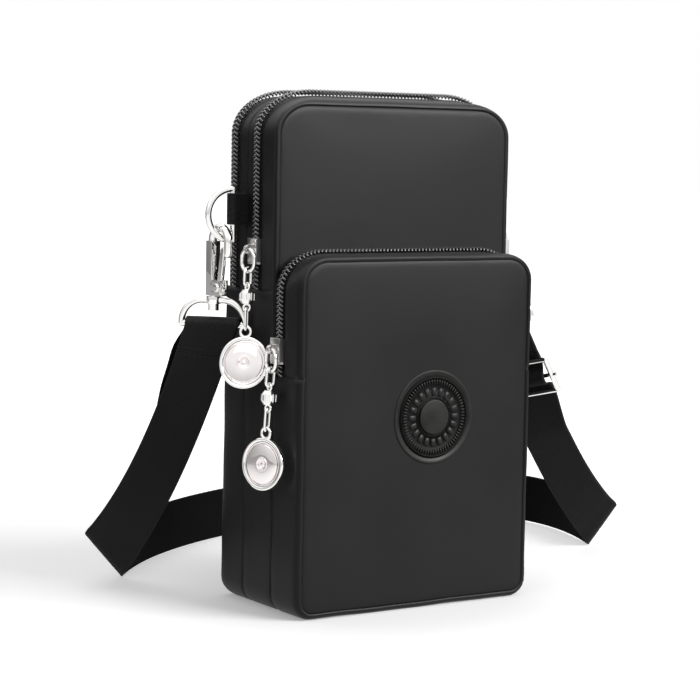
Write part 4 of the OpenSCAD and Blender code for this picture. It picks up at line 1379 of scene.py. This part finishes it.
for prefix in ("main", "pocket"):
    node, cap_node = prefix + "_charm", prefix + "_charm_cap"
    _, middle, axes = disc_axes(nodes[cap_node])
    normal = axes[0]
    points = disc_axes(nodes[node])[0]
    back = middle + normal * ((points @ normal).min() - middle @ normal)
    flat = (points - back) - np.outer((points - back) @ normal, normal)
    up = unit(flat[np.argmax((flat ** 2).sum(axis=1))])
    rim = turned_disc(node + "_rim", CHARM_RIM, back, axes)
    cap = turned_disc(cap_node + "_turned", CHARM_CAP, back, axes)
    hole = back + up * EYELET_UP + normal * EYELET_IN
    ring = []
    for a in np.linspace(0, 2 * math.pi, EYELET_STEPS, endpoint=False):
        out = math.cos(a) * up + math.sin(a) * np.cross(normal, up)
        wire = arc((EYELET_R, 0), EYELET_WIRE, 0, 336, 15)
        ring.append([hole + out * r + normal * h for r, h in wire])
    eyelet = sweep(node + "_eyelet", ring, [1 * MM * i for i in range(EYELET_STEPS + 1)], closed=True)
    finish_piece(join_meshes(node + "_disc", [rim, eyelet]), body_of[node], NICKEL, "nickel", node)
    finish_piece(cap, body_of[cap_node], SATIN, "charm_satin", cap_node)
    print(prefix, "charm at", [round(v / MM, 1) for v in back], "mm")

# %% [markdown]
# ## Floor, light and camera
# The pouch stands on a pale floor under broad soft lamps. The floor and the world show white
# to the camera, while the lamps stay at a level where cloth keeps its tone. The white fades
# in away from the pouch, so that its shadow stays on the floor, and right beside the pouch it
# is dimmed further as a painted contact shadow. Polished metal mirrors what stands round it,
# as in a light tent: rays that a perfect mirror sends out see a brighter floor and wall, with a
# darker far side that gives the metal its contrast.
# %% Floor
FLOOR_SIZE = 6.0
FLOOR_GLOW = 0.46
corners = [(x * FLOOR_SIZE, y * FLOOR_SIZE, 0) for x, y in ((-1, -1), (1, -1), (1, 1), (-1, 1))]
floor_mesh = bpy.data.meshes.new("floor")
floor_mesh.from_pydata(corners, [], [(0, 1, 2, 3)])
floor = add_object("floor", floor_mesh)
pale, tree, shader = new_material("pale_floor")
light_path = tree.nodes.new("ShaderNodeLightPath").outputs
is_seen = light_path["Is Camera Ray"]
tree.links.new(ramp(tree, is_seen, 0, 1, grey(0.16), grey(0.86)), shader.inputs["Base Color"])
shader.inputs["Roughness"].default_value = 0.9
shader.inputs["Specular IOR Level"].default_value = 0.0
here = place_in(tree, "Object")
length = tree.nodes.new("ShaderNodeVectorMath")
length.operation = "LENGTH"
tree.links.new(here, length.inputs[0])
away = length.outputs["Value"]

# what the camera sees: a painted contact shadow right beside the pouch, full white further out
painted_contact_shadow = level(tree, away, 0.05, 0.1, 0.6, 1.0)
white = math_node(tree, "MULTIPLY", level(tree, away, 0.15, 0.6, FLOOR_GLOW, 1.0), painted_contact_shadow)
own_glow = math_node(tree, "MULTIPLY", is_seen, white)

# what metal sees: soft gloss sees a dim glow, a mirror a bright floor that fades to the back
dim = level(tree, away, 0.15, 0.7, 0.4, 0.0)
bright = level(tree, parts_of(tree, here)[1], 0.05, 0.5, 0.97, 0.3)
mirrored = math_node(tree, "MAXIMUM", dim, math_node(tree, "MULTIPLY", light_path["Is Singular Ray"], bright))
glow = tree.nodes.new("ShaderNodeEmission")
strength = math_node(tree, "MULTIPLY_ADD", light_path["Is Glossy Ray"], mirrored, own_glow)
tree.links.new(strength, glow.inputs["Strength"])
both = tree.nodes.new("ShaderNodeAddShader")
tree.links.new(shader.outputs[0], both.inputs[0])
tree.links.new(glow.outputs[0], both.inputs[1])
tree.links.new(both.outputs[0], tree.nodes["Material Output"].inputs["Surface"])
floor_mesh.materials.append(pale)

# %% World
world = bpy.data.worlds.new("studio")
scene.world = world
world.use_nodes = True
tree = world.node_tree
sky = tree.nodes["Background"]
sky.inputs["Color"].default_value = (1, 1, 1, 1)
light_path = tree.nodes.new("ShaderNodeLightPath").outputs
seen = math_node(tree, "MAXIMUM", light_path["Is Camera Ray"], light_path["Is Transmission Ray"])
_, depthwise, upward = parts_of(tree, place_in(tree, "Object"))

# light from overhead, full in glossy reflections and dimmed on cloth
dimmed = math_node(tree, "MULTIPLY_ADD", light_path["Is Glossy Ray"], 0.72, 0.28)
overhead = math_node(tree, "MULTIPLY", level(tree, upward, 0.16, 0.5, 0.06, 1.15), dimmed)

# the bright tent round a mirror, darker behind the pouch
rising = level(tree, upward, 0.03, 0.25, 0.7, 1.0)
behind = level(tree, depthwise, 0.3, 0.7, 1.0, 0.3)
tent = math_node(tree, "MULTIPLY", math_node(tree, "MULTIPLY", rising, behind), light_path["Is Singular Ray"])
unseen = math_node(tree, "SUBTRACT", 1.0, seen)
strength = math_node(tree, "MULTIPLY_ADD", unseen, math_node(tree, "MAXIMUM", overhead, tent), seen)
tree.links.new(strength, sky.inputs["Strength"])


# %% Lamps
TARGET = Vector((0, 0, 0.09))


def lamp(name, at, size, power):
    """A rectangular softbox that faces the pouch. Places and sizes in metres, power in watts."""
    data = bpy.data.lights.new(name, "AREA")
    data.shape = "RECTANGLE"
    data.size, data.size_y = size
    data.energy = power
    thing = add_object(name, data)
    thing.location = at
    thing.rotation_euler = (TARGET - Vector(at)).to_track_quat("-Z", "Y").to_euler()


lamp("front_softbox", (0.8, -1.25, 0.9), (1.0, 0.7), 26)
lamp("left_softbox", (-1.4, -0.5, 1.0), (0.5, 0.8), 1.6)
lamp("top_softbox", (0.1, 0.3, 1.6), (1.2, 1.0), 3)

# %% Camera
CAMERA_AT = (-0.4287, -0.6413, 0.1609)
YAW, PITCH, TILT = math.radians(33.02), math.radians(5.25), math.radians(1.0)
ahead = Vector((math.sin(YAW) * math.cos(PITCH), math.cos(YAW) * math.cos(PITCH), -math.sin(PITCH)))
right = Vector((math.cos(YAW), -math.sin(YAW), 0))
above = right.cross(ahead)
tilt_right = right * math.cos(TILT) + above * math.sin(TILT)
tilt_up = above * math.cos(TILT) - right * math.sin(TILT)
turn = Matrix((tilt_right, tilt_up, -ahead)).transposed().to_4x4()
camera_data = bpy.data.cameras.new("camera")
camera_data.sensor_width, camera_data.lens = 36.0, 109.7
camera = add_object("camera", camera_data)
camera.matrix_world = Matrix.Translation(CAMERA_AT) @ turn
scene.camera = camera
scene.view_settings.view_transform = "Standard"
